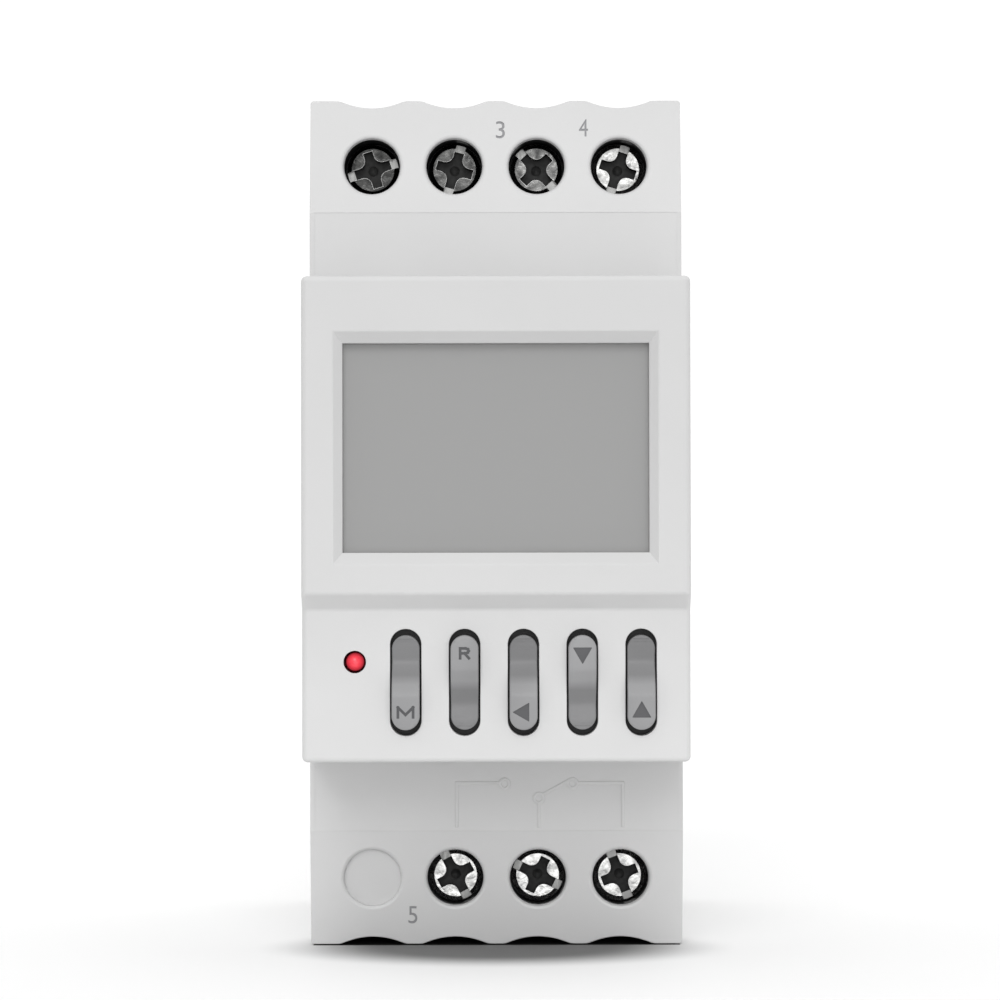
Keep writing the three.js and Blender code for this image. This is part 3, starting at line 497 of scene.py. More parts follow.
def well_cutter(row, x, depth):
    """A round cutter whose mouth flares out to meet the sloping deck in a rolled edge."""
    turn = [RIM_START + (pi / 2 - RIM_START) * n / RIM_STEPS for n in range(RIM_STEPS + 1)]
    rings = [(WELL + RIM * (1 - sin(a)), RIM * (1 - cos(a))) for a in turn]
    cutter = turned("well", [(WELL + RIM, -1.5), *rings, (WELL, depth)], (x, row * TERMINAL_HEIGHT), 72)
    for vertex in cutter.data.vertices:
        vertex.co.y += deck(vertex.co.z / MM) * MM
    return cutter


carve(housing, *(well_cutter(row, x, 0.8) for row, x in TERMINALS), well_cutter(*BLANK, 0.66))

# The flat bands beside the nose are sunk a hair between narrow borders.
FIELD = SHOULDER + 0.05
FIELD_HALF = 17.55
for row in (UPPER, LOWER):
    carve(housing, slab("sunk", (-FIELD_HALF, FIELD_HALF), (-45, FIELD), heights(row, 22, DECK_START)))

CHAMBER_HALF = 3.45
ENTRY_MIDDLE = -26
ENTRY = (2.6, 2.9)
MOUTH = (3.3, 3.6)
MOUTH_INNER = (2.4, 2.7)


def lined(piece, material):
    """Gives a piece a material and returns it."""
    piece.data.materials.append(material)
    return piece


def opening_at(name, x, half, z):
    """A cutter for the wire entry at x, of the given half sizes across and in depth."""
    across = (x - half[0], x + half[0])
    return slab(name, across, (ENTRY_MIDDLE - half[1], ENTRY_MIDDLE + half[1]), z)


def wire_entry(row, x, inner):
    """A rounded square hole in the end face with a funnel-shaped mouth."""
    throat = opening_at("entry", x, ENTRY, heights(row, inner, HALF_HEIGHT + 1))
    round_edges(throat, 0.8, 5, lambda a, b, faces: abs(a.z - b.z) > 1)
    mouth = opening_at("mouth", x, MOUTH, heights(row, HALF_HEIGHT - 1.5, HALF_HEIGHT + 1))
    half_x, half_y = MOUTH_INNER
    for vertex in mouth.data.vertices:
        if abs(vertex.co.z) < HALF_HEIGHT * MM:
            vertex.co.x = (x + (half_x if vertex.co.x > x * MM else -half_x)) * MM
            vertex.co.y = (ENTRY_MIDDLE + (half_y if vertex.co.y > ENTRY_MIDDLE * MM else -half_y)) * MM
    round_edges(mouth, 1.0, 5, lambda a, b, faces: abs(a.z - b.z) > 1)
    return throat, mouth


for row, x in TERMINALS:
    at = (x, row * TERMINAL_HEIGHT)
    bore = turned("bore", [(WELL - 0.03, -44), (WELL - 0.03, LEDGE)], at, 72)
    shank_hole = turned("shank_hole", [(1.9, -38), (1.9, -35)], at, 32)
    room = slab("room", (x - CHAMBER_HALF, x + CHAMBER_HALF), (-36.6, -9), heights(row, 31, 38.9))
    slot = slab("slot", (x - 2.1, x + 2.1), (-29.7, -9), heights(row, 29, 32))
    # The bores, screw holes, chambers and slots are lined in black as painted shade.
    carve(housing, *(lined(piece, well_black) for piece in (bore, shank_hole, room, slot)))
    carve(housing, *wire_entry(row, x, 37.9))
carve(housing, *wire_entry(*BLANK, 39.5))

# A collar for the front cover with four snap wedges, the hollow inside, and the windows in both
# sides for the rear base's hooked arms.
collar = slab("collar", (-16.2, 16.2), (-47, -43), (-20.7, 20.7))
weld(housing, collar)
snaps = []
for x in (-7, 7):
    for row in (UPPER, LOWER):
        snap = slab("snap", (x - 2, x + 2), (-46.6, -45), heights(row, 20.5, 21.25))
        for vertex in snap.data.vertices:
            if vertex.co.y < -46 * MM and abs(vertex.co.z) > 21 * MM:
                vertex.co.z = row * 20.6 * MM
        snaps.append(snap)
weld(housing, *snaps)
cavity = slab("cavity", (-16.1, 16.1), (-42, -9), (-29.8, 29.8))
opening = slab("opening", (-15, 15), (-48, -40), (-19.5, 19.5))
windows = [slab("window", (-19, 19), (-14, -12), (z - 2.5, z + 2.5)) for z in (-18, 18)]
carve(housing, cavity, opening, *windows)

NUMBER_HEIGHT = 1.7
NUMBER_WIDTH = 0.87
NUMBER_DEPTH = 0.09
NUMBERS = (("3", 0.49, 38.09), ("4", 8.57, 38.27), ("5", -8.13, -38.12))


def figure(text, x, z, width, height, front, back):
    """A character standing in the X-Z plane, from front to back(height), in millimetres."""
    bare()
    bpy.ops.object.text_add()
    piece = bpy.context.object
    piece.name = "number"
    piece.data.body = text
    piece.data.extrude = 0.5
    piece.data.resolution_u = 6
    bpy.ops.object.convert(target="MESH")
    co = [vertex.co.copy() for vertex in piece.data.vertices]
    low = [min(c[i] for c in co) for i in range(3)]
    high = [max(c[i] for c in co) for i in range(3)]
    for vertex, c in zip(piece.data.vertices, co):
        across, up, out = ((c[i] - low[i]) / (high[i] - low[i]) for i in range(3))
        depth = front if out > 0.5 else back(z + height * (up - 0.5))
        vertex.co = ((x + width * (across - 0.5)) * MM, depth * MM, (z + height * (up - 0.5)) * MM)
    bpy.ops.object.mode_set(mode="EDIT")
    bpy.ops.mesh.select_all(action="SELECT")
    bpy.ops.mesh.remove_doubles(threshold=1e-6)
    bpy.ops.mesh.normals_make_consistent(inside=False)
    bare()
    return piece


for text, x, z in NUMBERS:
    digit = figure(text, x, z, NUMBER_WIDTH, NUMBER_HEIGHT, -46, lambda at: deck(at) + NUMBER_DEPTH)
    carve(housing, lined(digit, number_ink))

smooth(housing)
creases = [
    edge for edge in housing.data.edges
    if all(abs(abs(housing.data.vertices[i].co.z) - DECK_START * MM) < 1e-6 for i in edge.vertices)
]
for edge in creases:
    edge.use_edge_sharp = True
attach(housing, "housing")
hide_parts("main_housing")


# ---------------------------------------------------------------------------
# Contact diagram: moulded in low relief between the lower screws and the nose,
# part of the housing. Two open contacts are drawn as lines and rings.
# ---------------------------------------------------------------------------
RELIEF = 0.09
LINE = 0.3
RING = 0.45
LINES = (
    ((-3.84, -29.4), (-3.84, -25.3), (0.35, -25.3)), ((4.08, -29.43), (4.08, -27.25)),
    ((4.5, -26.4), (6.98, -25.05)), ((7.85, -25.3), (12.2, -25.3), (12.2, -29.4)),
)
RINGS = ((0.78, -25.38), (4.09, -26.75), (7.35, -25.34))


def pen(points, width, front, back):
    """Bars of the given width along the line through the points, each ending square, half a width on."""
    bars = []
    for (x0, z0), (x1, z1) in zip(points, points[1:]):
        length = hypot(x1 - x0, z1 - z0)
        bar = slab("bar", (-width / 2, length + width / 2), (front, back), (-width / 2, width / 2))
        bar.rotation_euler.y = -atan2(z1 - z0, x1 - x0)
        bar.location = (x0 * MM, 0, z0 * MM)
        bars.append(settle(bar))
    return bars


front = FIELD - RELIEF
strokes = [bar for line in LINES for bar in pen(line, LINE, front, FIELD + 0.1)]
for x, z in RINGS:
    outer = turned("ring", [(RING + LINE / 2, front - 0.01), (RING + LINE / 2, FIELD + 0.12)], (x, z), 32)
    inner = RING - LINE / 2
    strokes.append(carve(outer, turned("hole", [(inner, -46), (inner, -43)], (x, z), 32)))
for stroke in strokes:
    round_edges(stroke, 0.05, 2, lambda a, b, faces: sum(face.y < -0.9 for face in faces) == 1)
diagram = weld(strokes[0], *strokes[1:])
diagram.name = "contact_diagram"
diagram.data.materials.append(housing_plastic)
smooth(diagram)
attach(diagram, "housing")


# ---------------------------------------------------------------------------
# Front cover: the nose of the timer, the same light grey plastic. The display
# block stands 1.5 mm prouder than the key panel under it, and a bevel leads
# the eye down to the window. It clicks over the housing's collar.
# ---------------------------------------------------------------------------
NOSE_HALF = 22.5
DISPLAY_FACE = -60
KEY_FACE = -58.5
BLOCK_BOTTOM = -6.9
SLOPE_BOTTOM = -8.35
COVER_BACK = -44.1
COVER_WALL = 1.6
WINDOW = (14.2, 9.7)
BEVEL = (15.07, 10.8)
BEVEL_DEPTH = 0.65
DISPLAY_HEIGHT = 6.6
POCKET = -58.4
POCKET_HALF = (15.6, 11.1)
KEY_PITCH = 5.45
FIRST_KEY = -8.38
KEY_HEIGHT = -15.1
SLOT = (2.9, 9.9)
LED_AT = (-13.1, -13.2)
LED_HOLE = 1.03

across = (-HALF_WIDTH, HALF_WIDTH)
cover = slab("front_cover_shell", across, (DISPLAY_FACE, COVER_BACK), (-NOSE_HALF, NOSE_HALF))
hold(cover)
bpy.ops.object.mode_set(mode="EDIT")
for z in (BLOCK_BOTTOM, SLOPE_BOTTOM):
    bpy.ops.mesh.select_all(action="SELECT")
    bpy.ops.mesh.bisect(plane_co=(0, 0, z * MM), plane_no=(0, 0, 1))
bpy.ops.object.mode_set(mode="OBJECT")
for vertex in cover.data.vertices:
    if vertex.co.y < -59 * MM and vertex.co.z < (SLOPE_BOTTOM + 0.1) * MM:
        vertex.co.y = KEY_FACE * MM


def nose_rim(a, b, faces):
    """The rounded rim of the nose and its four long corners."""
    if min(a.y, b.y) > -50 or len(faces) != 2:
        return False
    return abs(faces[0].dot(faces[1])) < 0.3


round_edges(cover, 0.52, 6, nose_rim)
ease = cover.modifiers.new("ease", "BEVEL")
ease.width = 0.22 * MM
ease.segments = 3
ease.limit_method = "ANGLE"
ease.angle_limit = radians(32)
hold(cover)
bpy.ops.object.modifier_apply(modifier=ease.name)
cover.data.materials.append(housing_plastic)

hollow = slab("hollow", (-16.4, 16.4), (-57.4, -43), (-20.9, 20.9))
for vertex in hollow.data.vertices:
    if vertex.co.y < -50 * MM and vertex.co.z < 0:
        vertex.co.y = (KEY_FACE + COVER_WALL) * MM
carve(cover, hollow)


def framed(name, half, y):
    """A cutter about the middle of the display, of the given half width and half height."""
    return slab(name, (-half[0], half[0]), y, (DISPLAY_HEIGHT - half[1], DISPLAY_HEIGHT + half[1]))


funnel = framed("funnel", BEVEL, (DISPLAY_FACE - BEVEL_DEPTH, DISPLAY_FACE + BEVEL_DEPTH))
for vertex in funnel.data.vertices:
    grow = 1 if vertex.co.y < DISPLAY_FACE * MM else -1
    half_x = (BEVEL[0] + grow * (BEVEL[0] - WINDOW[0])) * MM
    half_z = (BEVEL[1] + grow * (BEVEL[1] - WINDOW[1])) * MM
    vertex.co.x = half_x if vertex.co.x > 0 else -half_x
    vertex.co.z = DISPLAY_HEIGHT * MM + (half_z if vertex.co.z > DISPLAY_HEIGHT * MM else -half_z)
aperture = framed("aperture", WINDOW, (-61, -56))
pocket = framed("pocket", POCKET_HALF, (POCKET, -55))
carve(cover, funnel, aperture, pocket)


def display_rim(a, b, faces):
    """The outer rim of the bevel round the display."""
    flat = abs(a.y - DISPLAY_FACE) < 0.01 and abs(b.y - DISPLAY_FACE) < 0.01
    inside = max(abs(a.x), abs(b.x)) < 15.3 and min(a.z, b.z) > -4.6 and max(a.z, b.z) < 17.8
    return flat and inside


def window_rim(a, b, faces):
    """The inner rim, where the bevel turns down towards the window."""
    return all(abs(p.y + 59) < 0.02 and abs(p.x) < 14.3 and -3.3 < p.z < 16.5 for p in (a, b))


round_edges(cover, 0.1, 3, display_rim)
round_edges(cover, 0.08, 3, window_rim)

KEYS = [
    ("mode", "M", LOWER), ("reset", "R", UPPER), ("left", pi, LOWER),
    ("down", -pi / 2, UPPER), ("up", pi / 2, LOWER),
]
key_x = [FIRST_KEY + n * KEY_PITCH for n in range(len(KEYS))]
carve(cover, *(finger("slot", *SLOT, (x, KEY_HEIGHT), (-60, -55)) for x in key_x))
# The light's hole is lined in black as painted shade round the lamp.
carve(cover, lined(turned("light_hole", [(LED_HOLE, -60), (LED_HOLE, -56)], LED_AT, 40), well_black))


def slot_rim(a, b, faces):
    """The rims of the key slots and of the light's hole, inside the key panel's own outline."""
    return all(abs(p.y - KEY_FACE) < 0.01 and -21 < p.z < -9.5 and abs(p.x) < 16 for p in (a, b))


round_edges(cover, 0.07, 3, slot_rim)
smooth(cover)
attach(cover, "housing")
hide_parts("front_cover")


# ---------------------------------------------------------------------------
# Display: a smoked, lightly frosted polycarbonate window over a liquid-crystal
# cell that shows nothing while it is off, so it reads as a plain silvery grey.
# The cell's upper glass is the larger; its ledge carries the contacts.
# ---------------------------------------------------------------------------
low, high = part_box("display_window")
window = slab("clear_window", *((low[i] / MM, high[i] / MM) for i in range(3)))
round_edges(window, 0.15, 3, lambda a, b, faces: True)
clear, tree, shader, place = own_material("smoked_polycarbonate")
shader.inputs["Base Color"].default_value = (0.345, 0.345, 0.343, 1)
shader.inputs["Alpha"].default_value = 0.82
shader.inputs["IOR"].default_value = 1.58
haze = cloud(tree, place, 0.4, 2)
tree.links.new(spread(tree, haze, 0.16, 0.24), shader.inputs["Roughness"])
window.data.materials.append(clear)
smooth(window)
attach(window, "housing")
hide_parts("display_window")

cell_film, tree, shader, place = own_material("polariser_film")
silver = spread(tree, cloud(tree, place, 6, 4), 0, 1)
tinted(tree, shader, silver, (0.355, 0.355, 0.352), (0.375, 0.375, 0.372))
grit = cloud(tree, place, 0.05, 2)
tree.links.new(spread(tree, grit, 0.3, 0.42), shader.inputs["Roughness"])
bumped(tree, shader, grit, 0.001)
REAR_GLASS_HALF = 9.5
low, high = (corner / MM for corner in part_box("display_glass"))
step = (low.y + high.y) / 2
cell = weld(
    slab("cell_front", (low.x, high.x), (low.y, step), (low.z, high.z)),
    framed("cell_back", (high.x, REAR_GLASS_HALF), (step - 0.1, high.y)),
)
cell.name = "crystal_cell"
round_edges(cell, 0.08, 2, lambda a, b, faces: len(faces) == 2 and faces[0].dot(faces[1]) < 0.5)
cell.data.materials.append(cell_film)
smooth(cell)
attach(cell, "housing")
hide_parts("display_glass")


# ---------------------------------------------------------------------------
# Status light: a small red lamp with a domed, diffused epoxy lens, lit, which
# sits just inside its round hole in the key panel.
# ---------------------------------------------------------------------------
DOME = 0.84
DOME_STEPS = 6
LED_FLANGE = 1.2
LEG = 0.22
LEG_APART = 0.64
led_low, led_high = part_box("status_led")
led_front = led_low.y / MM
dome_steps = [k / DOME_STEPS * pi / 2 for k in range(1, DOME_STEPS + 1)]
led_rings = [(0.05, led_front)]
led_rings += [(DOME * sin(a), led_front + DOME * (1 - cos(a))) for a in dome_steps]
led_rings += [(DOME, led_front + 2.9), (LED_FLANGE, led_front + 3.0), (LED_FLANGE, led_front + 3.45)]
lamp = turned("red_lamp", led_rings, LED_AT, 40)
round_edges(lamp, 0.06, 2, lambda a, b, faces: len(faces) == 2 and faces[0].dot(faces[1]) < 0.3)
leg_length = (led_front + 3.3, led_high.y / MM)
leg_height = (LED_AT[1] - LEG, LED_AT[1] + LEG)
legs = [
    slab("leg", (LED_AT[0] + side - LEG, LED_AT[0] + side + LEG), leg_length, leg_height)
    for side in (-LEG_APART, LEG_APART)
]


def ramped(tree, place, axis, low, high):
    """0 at low and 1 at high along an axis of the piece, in millimetres."""
    axes = tree.nodes.new("ShaderNodeSeparateXYZ")
    ramp = tree.nodes.new("ShaderNodeMapRange")
    ramp.inputs["From Min"].default_value = low * MM
    ramp.inputs["From Max"].default_value = high * MM
    tree.links.new(place, axes.inputs["Vector"])
    tree.links.new(axes.outputs[axis], ramp.inputs["Value"])
    return ramp.outputs["Result"]


def darken_as_shade(material, axis, low, high, shade):
    """Paints shade into a material's colour: multiplies it by the shade where the axis passes from low to
    high.
    """
    tree = material.node_tree
    colour = tree.nodes["Principled BSDF"].inputs["Base Color"]
    unshaded_colour = colour.links[0].from_socket
    mix = tree.nodes.new("ShaderNodeMix")
    mix.data_type = "RGBA"
    mix.blend_type = "MULTIPLY"
    mix.inputs["B"].default_value = (shade, shade, shade, 1)
    place = tree.nodes["Texture Coordinate"].outputs["Object"]
    tree.links.new(ramped(tree, place, axis, low, high), mix.inputs["Factor"])
    tree.links.new(unshaded_colour, mix.inputs["A"])
    tree.links.new(mix.outputs["Result"], colour)


GLOW = 0.42
lamp_red, tree, shader, place = own_material("lit_red_epoxy")
glow = spread(tree, cloud(tree, place, 0.5, 2), 0, 1)
tinted(tree, shader, glow, (0.55, 0.03, 0.05), (0.75, 0.06, 0.08))
shader.inputs["Roughness"].default_value = 0.25
shader.inputs["Emission Color"].default_value = (1.0, 0.06, 0.09, 1)
glow_depth = ramped(tree, place, "Y", led_front + 1.4, led_front + 0.1)
dimmed = tree.nodes.new("ShaderNodeMath")
dimmed.operation = "MULTIPLY"
dimmed.inputs[1].default_value = GLOW
tree.links.new(glow_depth, dimmed.inputs[0])
tree.links.new(dimmed.outputs["Value"], shader.inputs["Emission Strength"])
lamp.data.materials.append(lamp_red)


def metal(name, colour, roughness, scratch=0.25, depth=0.004):
    """Plated or bare metal with a drawn grain and slight tarnish."""
    material, tree, shader, place = own_material(name)
    shader.inputs["Metallic"].default_value = 1.0
    stain = spread(tree, cloud(tree, place, 1.6, 4), 0, 1)
    tinted(tree, shader, stain, [c * 0.82 for c in colour], colour)
    stretch = tree.nodes.new("ShaderNodeMapping")
    stretch.inputs["Scale"].default_value = (1, 1, 0.12)
    tree.links.new(place, stretch.inputs["Vector"])
    grain = cloud(tree, stretch.outputs["Vector"], scratch, 3)
    tree.links.new(spread(tree, grain, roughness - 0.08, roughness + 0.12), shader.inputs["Roughness"])
    bumped(tree, shader, grain, depth)
    return material


tinned = metal("tinned_wire", (0.72, 0.72, 0.73), 0.3)
weld(lamp, *(lined(leg, tinned) for leg in legs))
smooth(lamp)
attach(lamp, "housing")
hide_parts("status_led")


# ---------------------------------------------------------------------------
# Lever keys: five small rockers of satin grey plastic. Each is hinged at its
# low end and climbs a hollow slope to a pad with a sunk mark. Alternate keys
# stand the other way up, so their switches sit in two staggered rows.
# ---------------------------------------------------------------------------
KEY_WIDTH = 2.58
KEY_LENGTH = 8.75
KEY_BACK = 2.5
CREASE = 2.0
LOW_END = 0.28
TIP_RISE = 0.55
PAD = -1.2
PAD_START = -1.2
PAD_FALL = 0.14
PAD_MIDDLE = 2.72
FLANGE = (3.9, 10.8)
PIVOT = (2.3, 4.6)
MARK_DEPTH = 0.12
MARK_WIDTH = 1.0
MARK_HEIGHT = 0.9
MARK_LINE = 0.25
ARROW = 1.03
LETTERS = {
    "M": (((-0.2, 0), (-0.2, 1), (0.5, 0.25), (1.2, 1), (1.2, 0)),),
    "R": (
        ((0.1, 0), (0.1, 1)),
        ((0.1, 1), (0.6, 1), (0.82, 0.9), (0.88, 0.74), (0.8, 0.58), (0.6, 0.5), (0.1, 0.5)),
        ((0.5, 0.5), (0.9, 0)),
    ),
}


def key_top(z):
    """Depth of a key's top at a height, its raised end down: tip, crease, hollow slope, then pad."""
    if z > CREASE:
        return LOW_END - TIP_RISE * (z - CREASE) / (KEY_LENGTH / 2 - CREASE)
    if z > PAD_START:
        run = (CREASE - z) / (CREASE - PAD_START)
        return LOW_END + (PAD - LOW_END) * run * (0.25 * run * (3 - 2 * run) + 0.75)
    fall = (PAD_START - z) / (KEY_LENGTH / 2 + PAD_START)
    return PAD + PAD_FALL * fall * fall


def key_rim(a, b, faces):
    """The rim of a key's top."""
    return len(faces) == 2 and a.y < 1 and (faces[0].y < -0.5) != (faces[1].y < -0.5)


# The low ends, which sit deeper in the slots, are painted darker as painted shade; the raised pads keep
# the plain grey.
key_grey = moulded("key_grey", (0.28, 0.28, 0.285), 0.4, grain=0.16, depth=0.01, drift=0.07)
mark_dark = moulded("mark_dark", (0.095, 0.095, 0.10), 0.6)
darken_as_shade(key_grey, "Y", KEY_FACE - 0.75, KEY_FACE - 0.3, 0.68)

cap = lined(finger("key_cap", KEY_WIDTH, KEY_LENGTH, (0, 0), (0, KEY_BACK)), key_grey)
hold(cap)
bpy.ops.object.mode_set(mode="EDIT")
CUTS = 36
for n in range(1, CUTS):
    height = (n / CUTS - 0.5) * (KEY_LENGTH - 0.3)
    bpy.ops.mesh.select_all(action="SELECT")
    bpy.ops.mesh.bisect(plane_co=(0, 0, height * MM), plane_no=(0, 0, 1))
bpy.ops.object.mode_set(mode="OBJECT")
for vertex in cap.data.vertices:
    if vertex.co.y < 0.1 * MM:
        vertex.co.y = key_top(vertex.co.z / MM) * MM
round_edges(cap, 0.13, 3, key_rim)
flange = finger("flange", *FLANGE, (0, 0), (COVER_WALL + 0.15, KEY_BACK))
foot = slab("foot", (-1, 1), (KEY_BACK - 0.2, 3.17), (-3.3, -1.7))
bare()
bpy.ops.mesh.primitive_cylinder_add(
    vertices=24, radius=0.5 * MM, depth=5.8 * MM,
    location=(0, PIVOT[0] * MM, PIVOT[1] * MM), rotation=(0, pi / 2, 0),
)
trunnion = settle(named("trunnion"))
# The flange, foot and trunnion are painted black, as painted shade in the gaps round each key.
key_blank = weld(cap, *(lined(part, well_black) for part in (flange, foot, trunnion)))

for (name, mark, raised), x in zip(KEYS, key_x):
    key = key_blank.copy()
    key.data = key_blank.data.copy()
    key.name = "lever_" + name
    bpy.context.scene.collection.objects.link(key)
    key.rotation_euler.y = pi if raised == UPPER else 0
    key.location = (x * MM, KEY_FACE * MM, KEY_HEIGHT * MM)
    settle(key)
    pad_z = KEY_HEIGHT + raised * PAD_MIDDLE
    floor = KEY_FACE + PAD + MARK_DEPTH
    if isinstance(mark, str):
        signs = []
        for line in LETTERS[mark]:
            line = [(x + (u - 0.5) * MARK_WIDTH, pad_z + (v - 0.5) * MARK_HEIGHT) for u, v in line]
            signs.append(weld(*pen(line, MARK_LINE, -62, floor)))
    else:
        arrow = turned("sign", [(ARROW, -62), (ARROW, floor)], (0, 0), 3)
        arrow.rotation_euler.y = -(mark - pi / 2)
        arrow.location = (x * MM, 0, pad_z * MM)
        settle(arrow)
        signs = [round_edges(arrow, 0.08, 3, lambda a, b, faces: abs(a.y - b.y) > 0.5)]
    for sign in signs:
        carve(key, lined(sign, mark_dark))
    smooth(key, 28)
    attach(key, "key_" + name)
    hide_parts("key_" + name)
bpy.data.objects.remove(key_blank)


# ---------------------------------------------------------------------------
# Terminal screws: plated steel, turned and threaded, with a combined slot and
# cross recess stamped in the head. The stamping leaves four bright islands,
# and each screw stands at whatever angle it was left.
# ---------------------------------------------------------------------------
SCREW_TOP = -39.7
HEAD = 2.5
HEAD_HEIGHT = 1.9
THREAD = 1.75
THREAD_PITCH = 0.6
SCREW_LENGTH = 9.4
screw_steel, tree, shader, place = own_material("screw_steel")
shader.inputs["Metallic"].default_value = 1.0
patches = spread(tree, cloud(tree, place, 0.9, 5), 0, 1)
tinted(tree, shader, patches, (0.25, 0.25, 0.25), (0.95, 0.95, 0.93))
tree.links.new(spread(tree, cloud(tree, place, 0.35, 4), 0.12, 0.42), shader.inputs["Roughness"])
bumped(tree, shader, cloud(tree, place, 0.7, 3), 0.1)
# A whiter, less metallic steel, for a painted highlight on the islands' rolled edges.
edge_steel = metal("edge_steel", (0.98, 0.98, 0.97), 0.35)
edge_steel.node_tree.nodes["Principled BSDF"].inputs["Metallic"].default_value = 0.35
slot_steel = metal("slot_steel", (0.3, 0.3, 0.295), 0.3)
# The cross recess is painted near black, with a faint mottle, as painted shade in the hollow.
recess_dark, tree, shader, place = own_material("recess_dark")
shader.inputs["Specular IOR Level"].default_value = 0.25
recess_shade_mottle = spread(tree, cloud(tree, place, 0.4, 3), 0, 1)
tinted(tree, shader, recess_shade_mottle, (0.006, 0.006, 0.006), (0.03, 0.03, 0.029))
tree.links.new(spread(tree, cloud(tree, place, 0.2, 2), 0.4, 0.6), shader.inputs["Roughness"])

ISLAND = 2.08
ARM = 0.47
ARM_REACH = 1.8
SLOT_DEPTH = 0.62
CROSS_DEPTH = 1.3
INNER_CORNER = 0.8
EDGE_ROUND = 0.13
rings = [(ISLAND, 0), (HEAD, 0.4), (HEAD, HEAD_HEIGHT), (THREAD, HEAD_HEIGHT)]
y = HEAD_HEIGHT + 0.1
while y < SCREW_LENGTH - 0.7:
    rings += [(THREAD - 0.28, y), (THREAD, y + THREAD_PITCH / 2)]
    y += THREAD_PITCH
rings += [(THREAD - 0.3, SCREW_LENGTH - 0.4), (THREAD - 0.5, SCREW_LENGTH)]
screw_blank = turned("screw_blank", rings, (0, 0), 64)
screw_blank.data.materials.append(screw_steel)
carve(screw_blank, lined(slab("slot", (-3, 3), (-1, SLOT_DEPTH), (-ARM, ARM)), slot_steel))
cross = weld(
    slab("arm", (-ARM_REACH, ARM_REACH), (-1, CROSS_DEPTH), (-ARM, ARM)),
    slab("arm", (-ARM, ARM), (-1, CROSS_DEPTH), (-ARM_REACH, ARM_REACH)),
)
hold(cross)
bpy.ops.object.mode_set(mode="EDIT")
bpy.ops.mesh.select_all(action="SELECT")
bpy.ops.mesh.dissolve_limited(angle_limit=radians(0.2))
bare()
round_edges(cross, INNER_CORNER, 8, lambda a, b, faces: abs(a.y - b.y) > 1 and hypot(a.x, a.z) < 1)
weld(cross, turned("socket", [(0.5, 0.8), (0.5, 1.45), (0.12, 1.65)], (0, 0), 32))
carve(screw_blank, lined(cross, recess_dark))


def island_rim(a, b, faces):
    """The upright edges of the four islands round the recess, at the top of the head."""
    top = abs(a.y) < 0.001 and abs(b.y) < 0.001 and max(a.length, b.length) < ISLAND + 0.05
    return top and len(faces) == 2 and faces[0].dot(faces[1]) < 0.5


round_edges(screw_blank, EDGE_ROUND, 3, island_rim)
# The rolled edges of the four islands get the painted highlight.
screw_blank.data.materials.append(edge_steel)
for face in screw_blank.data.polygons:
    rolled = -0.98 < face.normal.y < -0.15 and face.center.y < EDGE_ROUND * MM
    if rolled and face.center.length < (ISLAND + 0.02) * MM:
        face.material_index = len(screw_blank.data.materials) - 1

ANGLES = {
    "upper_1": 17, "upper_2": 74, "upper_3": 134, "upper_4": 72,
    "lower_1": 118, "lower_2": 154, "lower_3": 111,
}
# How much of its brightness each upper screw keeps under its painted shade.
UPPER_SCREW_SHADE = {"upper_1": 0.08, "upper_2": 0.14, "upper_3": 0.24, "upper_4": 0.7}
for (name, angle), (row, x) in zip(ANGLES.items(), TERMINALS):
    screw = screw_blank.copy()
    screw.data = screw_blank.data.copy()
    screw.name = "screw_" + name
    bpy.context.scene.collection.objects.link(screw)
    screw.rotation_euler.y = -radians(angle)
    screw.location = (x * MM, SCREW_TOP * MM, row * TERMINAL_HEIGHT * MM)
    settle(screw)
    # The upper row of screws gets copies of the steel painted darker, as painted shade.
    if name in UPPER_SCREW_SHADE:
        steel = screw_steel.copy()
        steel.name = "screw_steel_" + name
        darken_as_shade(steel, "Z", -1, 1, UPPER_SCREW_SHADE[name])
        screw.data.materials[0] = steel
    smooth(screw, 40)
    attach(screw, "screw_" + name)
    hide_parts("terminal_screw_" + name)
bpy.data.objects.remove(screw_blank)


# ---------------------------------------------------------------------------
# Rear base and rail latch: the base is the same light grey polyamide as the
# housing, and the latch is black and glass-filled, for its spring tongue.
# ---------------------------------------------------------------------------
def dress(names, material, width=0.12):
    """Rounds the edges of CAD pieces with modifiers and gives them a material."""
    for name in names:
        piece = bpy.data.objects[name]
        join = piece.modifiers.new("join", "WELD")
        join.merge_threshold = 0.01 * MM
        flat = piece.modifiers.new("flat", "DECIMATE")
        flat.decimate_type = "DISSOLVE"
        flat.angle_limit = radians(0.5)
        edge = piece.modifiers.new("edge", "BEVEL")
        edge.width = width * MM
        edge.segments = 2
        edge.limit_method = "ANGLE"
        edge.angle_limit = radians(40)
        for slot in piece.material_slots:
            slot.material = material


def nodes_named(start):
    """The CAD pieces whose names begin in one way."""
    return [piece.name for piece in bpy.data.objects if piece.name.startswith(start)]


dress(["rear_base"], moulded("base_plastic", (0.6, 0.6, 0.595), 0.52, drift=0.015), 0.2)
latch_polyamide = moulded("latch_polyamide", (0.022, 0.022, 0.024), 0.45, grain=0.3, depth=0.015)
dress(["rail_latch"], latch_polyamide, 0.2)


